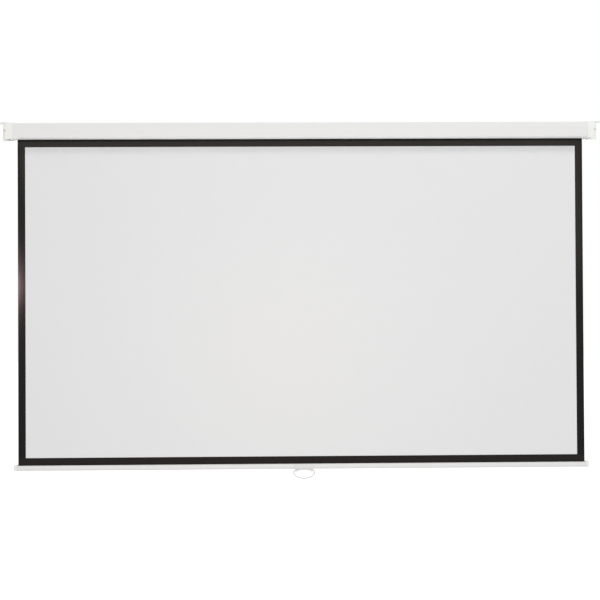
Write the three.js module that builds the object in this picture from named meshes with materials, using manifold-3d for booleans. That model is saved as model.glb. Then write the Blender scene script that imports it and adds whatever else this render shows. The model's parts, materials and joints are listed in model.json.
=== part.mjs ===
// Manual pull down projector screen for a wall or a ceiling, with a 100 inch 16:9 viewing area.
// A folded steel case between two moulded end caps holds a spring roller. The fabric leaves the rear of the
// roller through a slot under the case and hangs to a weight bar with a swinging pull loop. A ratchet with
// two falling pawls at the roller's right end locks the fabric at the drawn height.
// Frame: +X to the viewer's right, +Y into the wall, +Z up. Millimetres. The origin lies in the wall plane,
// midway between the two wall screws and at their height.
import * as THREE from "three";
import { mergeVertices } from "three/addons/utils/BufferGeometryUtils.js";
import Module from "manifold-3d";

const wasm = await Module();
wasm.setup();

// Fabric: the viewing area, the black border round it, and the layers of the laminate.
const viewWidth = 2214;
const viewHeight = 1245;
const borderWidth = 30;
const fabricThickness = 0.35;
const filmThickness = 0.15;
const layerGap = 0.05;

// Case of folded sheet steel.
const caseHeight = 60;
const caseDepth = 66;
const caseSheet = 1;
const caseChamferHeight = 22;
const caseChamferDepth = 13;
const caseLowerFold = 3;
const caseFold = 2.5;
const slotWidth = 9;
const slotRearLand = 5;
const hangBelowTop = 15;

// End caps, moulded: thin in front and on top, thicker behind and below, where they meet the wall and
// the bar.
const capWidth = 33;
const capWall = 1.5;
const capFloor = 2.7;
const capSidePlate = 3;
const caseEngagement = 8;
const fabricSideGap = 7;

// Roller and its steel shaft. The roller's axis lies this far in front of the case's back.
const rollerBehind = 30;
const rollerRadius = 19;
const rollerWall = 1.2;
const shaftRadius = 4;
const wrapTurns = 1.25;

// Weight bar under the fabric, and the handle on it.
const barHeight = 21;
const barDepth = 18;
const barWall = 1.2;
const barCornerRadius = 7.5;
const handleOffset = 6;

// Clearance between pieces that sit in or rest on each other, and how far a cutter overruns its work.
const seatGap = 0.3;
const overrun = 1;

// Places that follow from the sizes above.
const fabricWidth = viewWidth + 2 * borderWidth;
const laminate = fabricThickness + 2 * filmThickness + 2 * layerGap;
const caseBack = -(capFloor + seatGap);
const caseFront = caseBack - caseDepth;
const caseTop = hangBelowTop;
const caseBottom = caseTop - caseHeight;
const capInner = fabricWidth / 2 + fabricSideGap;
const capOuter = capInner + capWidth;
const capGrow = capWall + seatGap;
const capTop = caseTop + capGrow;
const capBottom = caseBottom - capFloor - seatGap;
const capShoulder = capInner + caseEngagement;
const caseHalf = capShoulder - seatGap;
const cavityEnd = capOuter - capSidePlate;
const rollerY = caseBack - rollerBehind;
const rollerZ = (caseTop + caseBottom) / 2;
const tubeHalf = capInner;
const tubeBore = rollerRadius - rollerWall;
const wrapPitch = laminate + seatGap;
const fabricFront = rollerY + rollerRadius + seatGap + wrapPitch * wrapTurns;
const fabricMiddle = fabricFront + laminate / 2;
const barTop = caseBottom - viewHeight - 2 * borderWidth;
const barBottom = barTop - barHeight;
const hemTop = barTop + borderWidth;

// Facets: steps round a full turn, and steps round one rounded corner.
const turnSteps = 32;
const smallTurnSteps = 20;
const splineSteps = 10;
const cornerSteps = 4;
const sharpestCorner = 0.15;
const weld = 1e-4;

const material = (color, roughness, metalness = 0) =>
  new THREE.MeshStandardMaterial({ color, roughness, metalness });
const whiteSteel = material(0xe8e9e7, 0.45);
const whitePlastic = material(0xecece6, 0.4);
const whiteFabric = material(0xe4e5e6, 0.9);
const blackFilm = material(0x2c2b2a, 0.6);
const blackBacking = material(0x1c1c1d, 0.8);
const bareSteel = material(0x9a9c9e, 0.35, 1);
const zincSteel = material(0xb7b9bb, 0.3, 1);
const springSteel = material(0x6d6f72, 0.4, 1);
const greyNylon = material(0xc9c9c4, 0.6);

// A geometry as a solid with shared vertices, ready to be joined or cut.
function solidFrom(geometry) {
  const bare = geometry.clone();
  bare.deleteAttribute("normal");
  bare.deleteAttribute("uv");
  const merged = mergeVertices(bare, weld);
  return new wasm.Manifold(
    new wasm.Mesh({
      numProp: 3,
      vertProperties: merged.attributes.position.array,
      triVerts: new Uint32Array(merged.index.array),
    }),
  );
}

function geometryFrom(solid) {
  const mesh = solid.getMesh();
  const geometry = new THREE.BufferGeometry();
  geometry.setAttribute("position", new THREE.BufferAttribute(mesh.vertProperties, 3));
  geometry.setIndex(new THREE.BufferAttribute(mesh.triVerts, 1));
  geometry.computeVertexNormals();
  return geometry;
}

function join(...geometries) {
  const solids = geometries.map(solidFrom);
  return geometryFrom(solids.reduce((sum, solid) => sum.add(solid)));
}

function cut(geometry, ...cutters) {
  const solids = cutters.map(solidFrom);
  return geometryFrom(solids.reduce((rest, solid) => rest.subtract(solid), solidFrom(geometry)));
}

function mirroredInX(geometry) {
  const flipped = geometry.clone().scale(-1, 1, 1);
  const index = flipped.index.array;
  for (let i = 0; i < index.length; i += 3) {
    [index[i + 1], index[i + 2]] = [index[i + 2], index[i + 1]];
  }
  flipped.computeVertexNormals();
  return flipped;
}

const box = (x0, x1, y0, y1, z0, z1) =>
  new THREE.BoxGeometry(x1 - x0, y1 - y0, z1 - z0).translate(
    (x0 + x1) / 2,
    (y0 + y1) / 2,
    (z0 + z1) / 2,
  );

// A prism along X: its section is a list of (y, z) points.
function alongX(section, x0, x1) {
  const geometry = new THREE.ExtrudeGeometry(new THREE.Shape(section), {
    depth: x1 - x0,
    bevelEnabled: false,
  });
  const turn = new THREE.Matrix4().makeBasis(
    new THREE.Vector3(0, 1, 0),
    new THREE.Vector3(0, 0, 1),
    new THREE.Vector3(1, 0, 0),
  );
  return geometry.applyMatrix4(turn).translate(x0, 0, 0);
}

// A prism along Y: its section is a list of (x, z) points.
function alongY(section, y0, y1) {
  const geometry = new THREE.ExtrudeGeometry(new THREE.Shape(section), {
    depth: y1 - y0,
    bevelEnabled: false,
  });
  return geometry.rotateX(Math.PI / 2).translate(0, y1, 0);
}

// A turned piece about the line through (y, z) parallel to X. The profile is a list of [x, radius] pairs
// that closes on itself, or starts and ends at radius 0, and runs towards +X along its outside.
function turnedAboutX(profile, y, z, steps = turnSteps) {
  const points = profile.map(([x, radius]) => new THREE.Vector2(radius, x));
  return new THREE.LatheGeometry(points, steps).rotateZ(-Math.PI / 2).scale(1, -1, -1).translate(0, y, z);
}

const rodAboutX = (radius, x0, x1, y, z, steps = smallTurnSteps) =>
  turnedAboutX([[x0, 0], [x0, radius], [x1, radius], [x1, 0]], y, z, steps);

const rodAboutY = (radius, y0, y1, x, z, steps = smallTurnSteps) =>
  new THREE.CylinderGeometry(radius, radius, y1 - y0, steps).translate(x, (y0 + y1) / 2, z);

const rodAboutZ = (radius, z0, z1, x, y, steps = smallTurnSteps) =>
  new THREE.CylinderGeometry(radius, radius, z1 - z0, steps)
    .rotateX(Math.PI / 2)
    .translate(x, y, (z0 + z1) / 2);

// Points along a path of straight runs with rounded left-hand corners, moved outwards by grow. Each corner
// is { y, z, radius }. An open path's two end points have no radius. A path moved far inwards keeps a corner
// of the sharpest radius.
function roundedPath(corners, grow, open) {
  const points = [];
  corners.forEach((corner, i) => {
    const here = new THREE.Vector2(corner.y, corner.z);
    const last = corners[(i + corners.length - 1) % corners.length];
    const next = corners[(i + 1) % corners.length];
    const into = new THREE.Vector2(here.x - last.y, here.y - last.z).normalize();
    const away = new THREE.Vector2(next.y - here.x, next.z - here.y).normalize();
    if (open && (i === 0 || i === corners.length - 1)) {
      const run = i === 0 ? away : into;
      points.push(new THREE.Vector2(here.x + run.y * grow, here.y - run.x * grow));
      return;
    }
    const turn = Math.atan2(into.cross(away), into.dot(away));
    const outward = new THREE.Vector2(into.y, -into.x);
    const radius = Math.max(corner.radius, sharpestCorner - grow);
    const centre = here
      .clone()
      .addScaledVector(into, -radius * Math.tan(turn / 2))
      .addScaledVector(outward, -radius);
    for (let k = 0; k <= cornerSteps; k++) {
      const angle = outward.angle() + (turn * k) / cornerSteps;
      points.push(
        new THREE.Vector2(
          centre.x + (radius + grow) * Math.cos(angle),
          centre.y + (radius + grow) * Math.sin(angle),
        ),
      );
    }
  });
  return points;
}

// The section of a folded sheet: its outer face follows the corners.
const foldedSheet = (corners, thickness) => [
  ...roundedPath(corners, 0, true),
  ...roundedPath(corners, -thickness, true).reverse(),
];

// The section of a sheet of even thickness along a centre line of points.
function ribbon(centreLine, thickness) {
  const side = (sign) =>
    centreLine.map((point, i) => {
      const before = centreLine[Math.max(i - 1, 0)];
      const after = centreLine[Math.min(i + 1, centreLine.length - 1)];
      const run = after.clone().sub(before).normalize();
      return new THREE.Vector2(
        point.x - (run.y * sign * thickness) / 2,
        point.y + (run.x * sign * thickness) / 2,
      );
    });
  return [...side(1), ...side(-1).reverse()];
}

// A body lofted through rings of points, each { x, points } with its (y, z) points in the same order.
function loftAlongX(rings) {
  const count = rings[0].points.length;
  const positions = rings.flatMap(({ x, points }) => points.flatMap((p) => [x, p.x, p.y]));
  const index = [];
  for (let ring = 0; ring + 1 < rings.length; ring++) {
    for (let i = 0; i < count; i++) {
      const a = ring * count + i;
      const b = ring * count + ((i + 1) % count);
      index.push(a, b, a + count, b, b + count, a + count);
    }
  }
  const last = (rings.length - 1) * count;
  for (const [a, b, c] of THREE.ShapeUtils.triangulateShape(rings[0].points, [])) index.push(a, c, b);
  for (const [a, b, c] of THREE.ShapeUtils.triangulateShape(rings.at(-1).points, [])) {
    index.push(last + a, last + b, last + c);
  }
  const geometry = new THREE.BufferGeometry();
  geometry.setAttribute("position", new THREE.Float32BufferAttribute(positions, 3));
  geometry.setIndex(index);
  geometry.computeVertexNormals();
  return geometry;
}

// A tube of round or oval section along 3D points. Its section's first axis starts near the given side.
function sweep(points, radiusAcross, radiusSide, sides, side) {
  const positions = [];
  const index = [];
  let across = side.clone();
  points.forEach((point, i) => {
    const before = points[Math.max(i - 1, 0)];
    const after = points[Math.min(i + 1, points.length - 1)];
    const run = after.clone().sub(before).normalize();
    across = across.addScaledVector(run, -across.dot(run)).normalize();
    const up = new THREE.Vector3().crossVectors(run, across);
    for (let k = 0; k < sides; k++) {
      const angle = (2 * Math.PI * k) / sides;
      const spot = point
        .clone()
        .addScaledVector(across, radiusAcross * Math.cos(angle))
        .addScaledVector(up, radiusSide * Math.sin(angle));
      positions.push(spot.x, spot.y, spot.z);
    }
  });
  const last = (points.length - 1) * sides;
  for (let ring = 0; ring < last; ring += sides) {
    for (let k = 0; k < sides; k++) {
      const a = ring + k;
      const b = ring + ((k + 1) % sides);
      index.push(a, b, a + sides, b, b + sides, a + sides);
    }
  }
  for (let k = 1; k + 1 < sides; k++) {
    index.push(0, k + 1, k, last, last + k, last + k + 1);
  }
  const geometry = new THREE.BufferGeometry();
  geometry.setAttribute("position", new THREE.Float32BufferAttribute(positions, 3));
  geometry.setIndex(index);
  geometry.computeVertexNormals();
  return geometry;
}

const screen = new THREE.Group();

function add(name, geometry, finish) {
  const mesh = new THREE.Mesh(geometry, finish);
  mesh.name = name;
  screen.add(mesh);
}

// The screw holes that pin each end cap to the case, at the middle of the sheet's engagement.
const capScrewX = capInner + caseEngagement / 2;
const capScrewShank = 1.75;
const capScrewHole = (z0, z1, x) =>
  rodAboutZ(capScrewShank + seatGap, z0 - overrun, z1 + overrun, x, rollerY);
const capScrewHoles = (x) => [
  capScrewHole(capBottom, caseBottom + caseSheet, x),
  capScrewHole(caseTop - caseSheet, capTop, x),
];

// Case: one sheet folded to a box with a sloping upper front and a slot under its rear, where the fabric
// leaves it. Both slot edges are folded up inside.
const caseOutline = [
  { y: caseFront, z: caseBottom, radius: caseLowerFold },
  { y: caseBack, z: caseBottom, radius: caseFold },
  { y: caseBack, z: caseTop, radius: caseFold },
  { y: caseFront + caseChamferDepth, z: caseTop, radius: caseFold },
  { y: caseFront, z: caseTop - caseChamferHeight, radius: caseFold },
];

function makeCaseShell() {
  const lipHeight = 4;
  const lipFold = 1.6;
  const slotRear = caseBack - slotRearLand;
  const slotFront = slotRear - slotWidth;
  const [frontFoot, ...upperCorners] = caseOutline;
  const path = [
    { y: slotRear, z: caseBottom + lipHeight },
    { y: slotRear, z: caseBottom, radius: lipFold },
    ...upperCorners,
    frontFoot,
    { y: slotFront, z: caseBottom, radius: lipFold },
    { y: slotFront, z: caseBottom + lipHeight },
  ];
  const shell = alongX(foldedSheet(path, caseSheet), -caseHalf, caseHalf);
  return cut(shell, ...capScrewHoles(capScrewX), ...capScrewHoles(-capScrewX));
}

// End cap, modelled for the right-hand end: a skirt round the case, a side plate with a ribbed boss for the
// roller, a keyhole in its back for a wall screw and a flat foot beside it, an ear on top with a hole for a
// ceiling screw, a window in its floor and a round dimple in its front near the outer edge.
const bossRadius = 11.5;
const bossSetback = 6;
const bossEnd = capShoulder + bossSetback;
const keyholeInset = 12;
const keyholeX = capOuter - keyholeInset;
const earReach = 28;
const earThickness = 4;
const earRise = 3;
const earTop = capTop + earRise;
const earBottom = earTop - earThickness;

// The cap's outline is the case's, with the extra thickness of the cap's floor and back added to it.
const capOutline = caseOutline.map((corner) => ({
  ...corner,
  y: corner.y === caseBack ? caseBack + capFloor - capWall : corner.y,
  z: corner.z === caseBottom ? caseBottom - capFloor + capWall : corner.z,
}));

function makeCapBody() {
  const edgeRadius = 6;
  const edgeSteps = 4;
  const rings = [{ x: capInner, points: roundedPath(capOutline, capGrow, false) }];
  for (let k = 0; k <= edgeSteps; k++) {
    const angle = ((Math.PI / 2) * k) / edgeSteps;
    rings.push({
      x: capOuter - edgeRadius * (1 - Math.sin(angle)),
      points: roundedPath(capOutline, capGrow - edgeRadius * (1 - Math.cos(angle)), false),
    });
  }
  const pocket = alongX(roundedPath(caseOutline, seatGap, false), capInner - overrun, capShoulder);
  const cavity = alongX(roundedPath(caseOutline, -caseSheet, false), capShoulder - overrun, cavityEnd);
  return cut(loftAlongX(rings), pocket, cavity);
}

// The window starts beside the end of the case's sheet. In the left cap it runs out to the side plate, and in
// the right one it is shorter.
const sheetLand = 1;
const windowStart = capShoulder + sheetLand;
const shortWindow = 9;

function floorWindow(windowEnd) {
  const frontLand = 14;
  return box(
    windowStart,
    windowEnd,
    caseFront + frontLand,
    caseBack,
    capBottom - overrun,
    caseBottom + caseSheet + overrun,
  );
}

function frontDimple() {
  const radius = 2.5;
  const depth = 1.8;
  const inset = 4;
  const belowAxis = 2;
  const face = caseFront - capGrow;
  return rodAboutY(radius, face - overrun, face + depth, capOuter - inset, rollerZ - belowAxis);
}

// The ear's plan is a rounded tongue that starts on the cap's top and reaches past the side plate. A
// concave web fills the corner under it.
function makeEar() {
  const earDepth = 30;
  const earInboard = 15;
  const tipRadius = 10;
  const webHeight = 7;
  const webReach = 8;
  const holeRadius = 3.6;
  const holeX = capOuter + earReach / 2;
  const plan = new THREE.Shape();
  plan.moveTo(capOuter - earInboard, -earDepth / 2);
  plan.lineTo(capOuter + earReach - tipRadius, -earDepth / 2);
  plan.absarc(capOuter + earReach - tipRadius, tipRadius - earDepth / 2, tipRadius, -Math.PI / 2, 0);
  plan.absarc(capOuter + earReach - tipRadius, earDepth / 2 - tipRadius, tipRadius, 0, Math.PI / 2);
  plan.lineTo(capOuter - earInboard, earDepth / 2);
  const plate = new THREE.ExtrudeGeometry(plan, {
    depth: earThickness,
    bevelEnabled: false,
    curveSegments: cornerSteps,
  }).translate(0, rollerY, earBottom);
  const webShape = new THREE.Shape();
  webShape.moveTo(capOuter - capSidePlate, capTop);
  webShape.lineTo(capOuter - capSidePlate, capTop - webHeight);
  webShape.lineTo(capOuter, capTop - webHeight);
  webShape.quadraticCurveTo(capOuter, capTop, capOuter + webReach, capTop);
  const webWidth = earDepth - 2 * tipRadius;
  const web = alongY(webShape.getPoints(cornerSteps), rollerY - webWidth / 2, rollerY + webWidth / 2);
  const hole = rodAboutZ(holeRadius, earBottom - webHeight, earTop + overrun, holeX, rollerY);
  return cut(join(plate, web), hole);
}

// The foot is a square tongue in the plane of the cap's back that widens its seat on the wall.
function makeWallFoot() {
  const thickness = 3;
  const reach = 20;
  return box(cavityEnd, capOuter + reach, -thickness, 0, capBottom, capTop);
}

function makeBoss() {
  const ribThickness = 2;
  const ribStart = bossEnd + overrun;
  const into = cavityEnd + capSidePlate / 3;
  const boss = rodAboutX(bossRadius, bossEnd, into, rollerY, rollerZ, turnSteps);
  const upright = box(
    ribStart,
    into,
    rollerY - ribThickness / 2,
    rollerY + ribThickness / 2,
    caseBottom,
    caseTop,
  );
  const level = box(
    ribStart,
    into,
    caseFront,
    caseBack,
    rollerZ - ribThickness / 2,
    rollerZ + ribThickness / 2,
  );
  return join(boss, upright, level);
}

// The wall screw's head enters the round end; its shank then slides up the slot and rests at z = 0.
const keyholeHead = 5;
const keyholeShank = 2.8;
const keyholeDrop = 7;
const keyholeCutters = () => [
  rodAboutY(keyholeHead, caseBack - caseSheet - overrun, overrun, keyholeX, -keyholeDrop),
  rodAboutY(keyholeShank, caseBack - caseSheet - overrun, overrun, keyholeX, 0),
  box(
    keyholeX - keyholeShank,
    keyholeX + keyholeShank,
    caseBack - caseSheet - overrun,
    overrun,
    -keyholeDrop,
    0,
  ),
];

function makeEndCap(socket, window) {
  const moulding = join(makeCapBody(), makeBoss(), makeEar(), makeWallFoot());
  return cut(moulding, socket, window, frontDimple(), ...keyholeCutters(), ...capScrewHoles(capScrewX));
}

// The right cap's socket is a flat slot that keeps the shaft from turning, and the left one's is round.
const tangHeight = 7.4;
const tangWidth = 4.4;
const tangLead = 1.5;
const bushRadius = 7;

const tangSocket = () =>
  box(
    bossEnd - overrun,
    cavityEnd,
    rollerY - tangWidth / 2 - seatGap,
    rollerY + tangWidth / 2 + seatGap,
    rollerZ - tangHeight / 2 - seatGap,
    rollerZ + tangHeight / 2 + seatGap,
  );

const bushSocket = () =>
  rodAboutX(bushRadius + seatGap, bossEnd - overrun, cavityEnd, rollerY, rollerZ, turnSteps);

// Pan head screw, upright: headZ is the face that its head seats on, and it points down from there.
function makeUprightScrew(x, y, headZ, shank, pointsUp) {
  const headRadius = 2 * shank;
  const headHeight = 1.2 * shank;
  const length = 5 * shank;
  const rounding = shank / 3;
  const profile = [
    [-length, 0],
    [-length + shank, shank],
    [0, shank],
    [0, headRadius],
    [headHeight - rounding, headRadius],
    [headHeight, headRadius - rounding],
    [headHeight, 0],
  ].map(([along, radius]) => new THREE.Vector2(radius, along));
  const screw = new THREE.LatheGeometry(profile, smallTurnSteps).rotateX(Math.PI / 2);
  return (pointsUp ? screw.rotateX(Math.PI) : screw).translate(x, y, headZ);
}

// Roller tube: drawn with a channel along its top that grips the fabric's upper edge.
const channelWidth = 5.4;
const channelDepth = 4;
const mouthWidth = 2.6;
const channelSkin = 1.1;

const channelBlock = (x0, x1, grow) =>
  box(
    x0,
    x1,
    rollerY - channelWidth / 2 - channelSkin - grow,
    rollerY + channelWidth / 2 + channelSkin + grow,
    rollerZ + tubeBore - channelDepth - channelSkin - grow,
    rollerZ + tubeBore + rollerWall / 2,
  );

function makeRollerTube() {
  const tube = turnedAboutX(
    [
      [-tubeHalf, tubeBore],
      [-tubeHalf, rollerRadius],
      [tubeHalf, rollerRadius],
      [tubeHalf, tubeBore],
      [-tubeHalf, tubeBore],
    ],
    rollerY,
    rollerZ,
  );
  const channel = box(
    -tubeHalf - overrun,
    tubeHalf + overrun,
    rollerY - channelWidth / 2,
    rollerY + channelWidth / 2,
    rollerZ + tubeBore - channelDepth,
    rollerZ + tubeBore,
  );
  const mouth = box(
    -tubeHalf - overrun,
    tubeHalf + overrun,
    rollerY - mouthWidth / 2,
    rollerY + mouthWidth / 2,
    rollerZ + tubeBore - overrun,
    rollerZ + rollerRadius + overrun,
  );
  return cut(join(tube, channelBlock(-tubeHalf, tubeHalf, 0)), channel, mouth);
}

// The fabric still on the roller: a leg held in the channel, then a spiral that opens to the rear of the
// roller, where the hanging fabric takes over.
const legAside = 0.8;
const splineRadius = 1.25;

function makeFabricWrap() {
  const startRadius = rollerRadius + seatGap + laminate / 2;
  const stepsPerTurn = 40;
  const steps = wrapTurns * stepsPerTurn;
  const line = [
    new THREE.Vector2(rollerY - legAside, rollerZ + tubeBore - channelDepth + seatGap),
    new THREE.Vector2(rollerY - legAside, rollerZ + startRadius - legAside),
  ];
  for (let k = 1; k < cornerSteps; k++) {
    const angle = Math.PI - ((Math.PI / 2) * k) / cornerSteps;
    line.push(
      new THREE.Vector2(
        rollerY + legAside * Math.cos(angle),
        rollerZ + startRadius - legAside + legAside * Math.sin(angle),
      ),
    );
  }
  for (let k = 0; k <= steps; k++) {
    const angle = 2 * Math.PI * wrapTurns * (1 - k / steps);
    const radius = startRadius + (wrapPitch * k) / stepsPerTurn;
    line.push(new THREE.Vector2(rollerY + radius * Math.cos(angle), rollerZ + radius * Math.sin(angle)));
  }
  return alongX(ribbon(line, laminate), -fabricWidth / 2, fabricWidth / 2);
}

const splineY = rollerY - legAside + laminate / 2 + seatGap + splineRadius;
const splineZ = rollerZ + tubeBore - channelDepth + seatGap + splineRadius;

// Plugs that close the tube. The right one runs on the shaft and carries the pawls on its flange; the left
// one holds the idler pin.
const plugDepth = 40;
const plugFlange = 3;
const flangeProud = 1;
const flangeRadius = rollerRadius + flangeProud;
const flangeOuter = tubeHalf + seatGap + plugFlange;

function makeTubePlug() {
  const bore = shaftRadius + seatGap;
  const body = tubeBore - seatGap;
  const plug = turnedAboutX(
    [
      [tubeHalf - plugDepth, bore],
      [tubeHalf - plugDepth, body],
      [tubeHalf + seatGap, body],
      [tubeHalf + seatGap, flangeRadius],
      [flangeOuter, flangeRadius],
      [flangeOuter, bore],
      [tubeHalf - plugDepth, bore],
    ],
    rollerY,
    rollerZ,
  );
  return cut(plug, channelBlock(tubeHalf - plugDepth - overrun, tubeHalf + seatGap, seatGap));
}

// Idler pin: pressed into the left plug, with a collar that keeps the roller off the bush.
const bushFlange = 1.5;

function makeIdlerPin() {
  const collarRadius = 6;
  const collarStart = flangeOuter + seatGap;
  const collarEnd = bossEnd - bushFlange - 2 * seatGap;
  return turnedAboutX(
    [
      [tubeHalf - plugDepth + seatGap, 0],
      [tubeHalf - plugDepth + seatGap, shaftRadius],
      [collarStart, shaftRadius],
      [collarStart, collarRadius],
      [collarEnd, collarRadius],
      [collarEnd, shaftRadius],
      [cavityEnd - seatGap, shaftRadius],
      [cavityEnd - seatGap, 0],
    ],
    rollerY,
    rollerZ,
    smallTurnSteps,
  );
}

function makeIdlerBush() {
  const flangeWidth = 2;
  const flange = bushRadius + flangeWidth;
  const bore = shaftRadius + seatGap;
  return turnedAboutX(
    [
      [bossEnd - bushFlange - seatGap, bore],
      [bossEnd - bushFlange - seatGap, flange],
      [bossEnd - seatGap, flange],
      [bossEnd - seatGap, bushRadius],
      [cavityEnd - seatGap, bushRadius],
      [cavityEnd - seatGap, bore],
      [bossEnd - bushFlange - seatGap, bore],
    ],
    rollerY,
    rollerZ,
    smallTurnSteps,
  );
}

// Spring motor: a fixed shaft with a flat tang, a torsion spring from its collar to a hub in the tube, and
// the ratchet wheel that the pawls drop into.
const springLength = 195;
const springTurns = 32;
const springWire = 1.1;
const springRadius = 9;
const collarWidth = 8;
const collarRadius = springRadius + 2 * springWire;
const collarRoom = 2;
const collarOuter = tubeHalf - plugDepth - collarRoom;
const springOuter = collarOuter - collarWidth - seatGap;
const springInner = springOuter - springLength;
const hubOuter = springInner - seatGap;
const hubWidth = 14;
const shaftPastHub = 6;
const shaftInner = hubOuter - hubWidth - shaftPastHub;

function makeSpringShaft() {
  const tangStart = bossEnd - tangLead;
  const rod = rodAboutX(shaftRadius, shaftInner, tangStart + seatGap, rollerY, rollerZ);
  const tang = box(
    tangStart,
    cavityEnd - seatGap,
    rollerY - tangWidth / 2,
    rollerY + tangWidth / 2,
    rollerZ - tangHeight / 2,
    rollerZ + tangHeight / 2,
  );
  return join(rod, tang);
}

const ringOnShaft = (x0, x1, radius) =>
  turnedAboutX(
    [
      [x0, shaftRadius + seatGap],
      [x0, radius],
      [x1, radius],
      [x1, shaftRadius + seatGap],
      [x0, shaftRadius + seatGap],
    ],
    rollerY,
    rollerZ,
  );

function makeTorsionSpring() {
  const stepsPerTurn = 8;
  const steps = springTurns * stepsPerTurn;
  const tail = 2 * springWire;
  const coilLength = springLength - 2 * tail;
  const spot = (x, angle) =>
    new THREE.Vector3(
      x,
      rollerY + springRadius * Math.cos(angle),
      rollerZ + springRadius * Math.sin(angle),
    );
  const line = [spot(springInner, 0)];
  for (let k = 0; k <= steps; k++) {
    line.push(spot(springInner + tail + (coilLength * k) / steps, (2 * Math.PI * k) / stepsPerTurn));
  }
  line.push(spot(springOuter, (2 * Math.PI * steps) / stepsPerTurn));
  return sweep(line, springWire, springWire, 5, new THREE.Vector3(0, 1, 0));
}

function makeSpringHub() {
  const hub = ringOnShaft(hubOuter - hubWidth, hubOuter, tubeBore - seatGap);
  return cut(hub, channelBlock(hubOuter - hubWidth - overrun, hubOuter + overrun, seatGap));
}

// Ratchet: four notches, each with an upright face that stops the pawl's nose as the spring winds the
// fabric in, and a ramp that lets it slip as the fabric is drawn down.
const ratchetRadius = 9;
const ratchetFloor = 6.2;
const notchCount = 4;
const pawlThickness = 4;
const pawlInner = flangeOuter + seatGap;

function makeRatchetWheel() {
  const faceAngle = THREE.MathUtils.degToRad(100.5);
  const ramp = THREE.MathUtils.degToRad(60);
  const pitch = (2 * Math.PI) / notchCount;
  const landSteps = 3;
  const points = [];
  const push = (radius, angle) =>
    points.push(new THREE.Vector2(rollerY + radius * Math.cos(angle), rollerZ + radius * Math.sin(angle)));
  for (let notch = 0; notch < notchCount; notch++) {
    const face = faceAngle + notch * pitch;
    push(ratchetFloor, face);
    for (let k = 0; k <= landSteps; k++) push(ratchetRadius, face + ((pitch - ramp) * k) / landSteps);
  }
  const wheel = alongX(points, pawlInner, pawlInner + pawlThickness);
  const bore = rodAboutX(
    shaftRadius + seatGap,
    pawlInner - overrun,
    pawlInner + pawlThickness + overrun,
    rollerY,
    rollerZ,
  );
  return cut(wheel, bore);
}

// Pawl: pivots on a pin on the plug's flange, behind and above the wheel. It is modelled lifted clear, and
// its nose drops into a notch as it falls. The second pawl lies opposite, half a turn round.
const pawlLift = 0.5;
const pawlReach = 10;
const pawlPivotRise = 1.5;
const pawlPivotY = pawlReach;
const pawlPivotZ = ratchetRadius + pawlPivotRise;
const pawlPinRadius = 1.5;

function makePawl(turned) {
  const eyeRadius = 2.7;
  const noseBack = 0.6;
  const noseFront = -1.2;
  const noseHeight = 2.7;
  const heelRise = 1.3;
  const heelY = 2.5;
  const noseTip = ratchetRadius + pawlLift;
  const noseTop = noseTip + noseHeight;
  const heelZ = noseTip + heelRise;
  const outline = new THREE.Shape();
  outline.moveTo(noseBack, noseTip);
  outline.lineTo(heelY, heelZ);
  outline.lineTo(pawlPivotY - eyeRadius, pawlPivotZ - eyeRadius / 3);
  outline.absarc(pawlPivotY, pawlPivotZ, eyeRadius, Math.PI * 1.15, Math.PI * 0.6);
  outline.lineTo(noseFront, noseTop);
  outline.lineTo(noseFront, noseTip);
  const section = outline.getPoints(cornerSteps + 2);
  const pawl = alongX(section, pawlInner, pawlInner + pawlThickness);
  const eye = rodAboutX(
    pawlPinRadius + seatGap,
    pawlInner - overrun,
    pawlInner + pawlThickness + overrun,
    pawlPivotY,
    pawlPivotZ,
  );
  return cut(pawl, eye).rotateX(turned).translate(0, rollerY, rollerZ);
}

function makePawlPin(turned) {
  const headRadius = 2.6;
  const headHeight = 1;
  const headStart = pawlInner + pawlThickness + seatGap;
  return turnedAboutX(
    [
      [flangeOuter, 0],
      [flangeOuter, pawlPinRadius],
      [headStart, pawlPinRadius],
      [headStart, headRadius],
      [headStart + headHeight, headRadius],
      [headStart + headHeight, 0],
    ],
    pawlPivotY,
    pawlPivotZ,
    smallTurnSteps,
  )
    .rotateX(turned)
    .translate(0, rollerY, rollerZ);
}

// Hanging fabric, in three layers from front to back: a black border film, the white viewing fabric and a
// black backing that keeps light out. The last strip belongs to the weight bar.
const hangingTop = rollerZ - seatGap;
const hangingBottom = hemTop + seatGap;
const fabricFace = fabricFront + filmThickness + layerGap;
const backingFace = fabricFace + fabricThickness + layerGap;

function makeMaskBorder() {
  const side = fabricWidth / 2;
  const window = viewWidth / 2;
  const windowTop = caseBottom - borderWidth;
  const outline = [
    [-side, hangingTop],
    [-side, hangingBottom],
    [-window, hangingBottom],
    [-window, windowTop],
    [window, windowTop],
    [window, hangingBottom],
    [side, hangingBottom],
    [side, hangingTop],
  ].map(([x, z]) => new THREE.Vector2(x, z));
  return alongY(outline, fabricFront, fabricFront + filmThickness);
}

const fabricSheet = (y0, thickness) =>
  box(-fabricWidth / 2, fabricWidth / 2, y0, y0 + thickness, hangingBottom, hangingTop);

// Weight bar: a drawn oval tube with a slot along its top. The fabric's hem is a pocket round a rod that
// can't leave through the slot.
const barSlot = 3;
const barOverhang = 3;
const barHalf = fabricWidth / 2 + barOverhang;
const hemRodRadius = 3;
const pocketInner = hemRodRadius + seatGap;
const pocketOuter = pocketInner + laminate;
const pocketZ = barTop - barWall - seatGap - pocketOuter;
const hemRodInset = 12;
const hemRodHalf = fabricWidth / 2 - hemRodInset;

const barOutline = [
  { y: fabricMiddle - barDepth / 2, z: barBottom, radius: barCornerRadius },
  { y: fabricMiddle + barDepth / 2, z: barBottom, radius: barCornerRadius },
  { y: fabricMiddle + barDepth / 2, z: barTop, radius: barCornerRadius },
  { y: fabricMiddle - barDepth / 2, z: barTop, radius: barCornerRadius },
];

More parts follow.
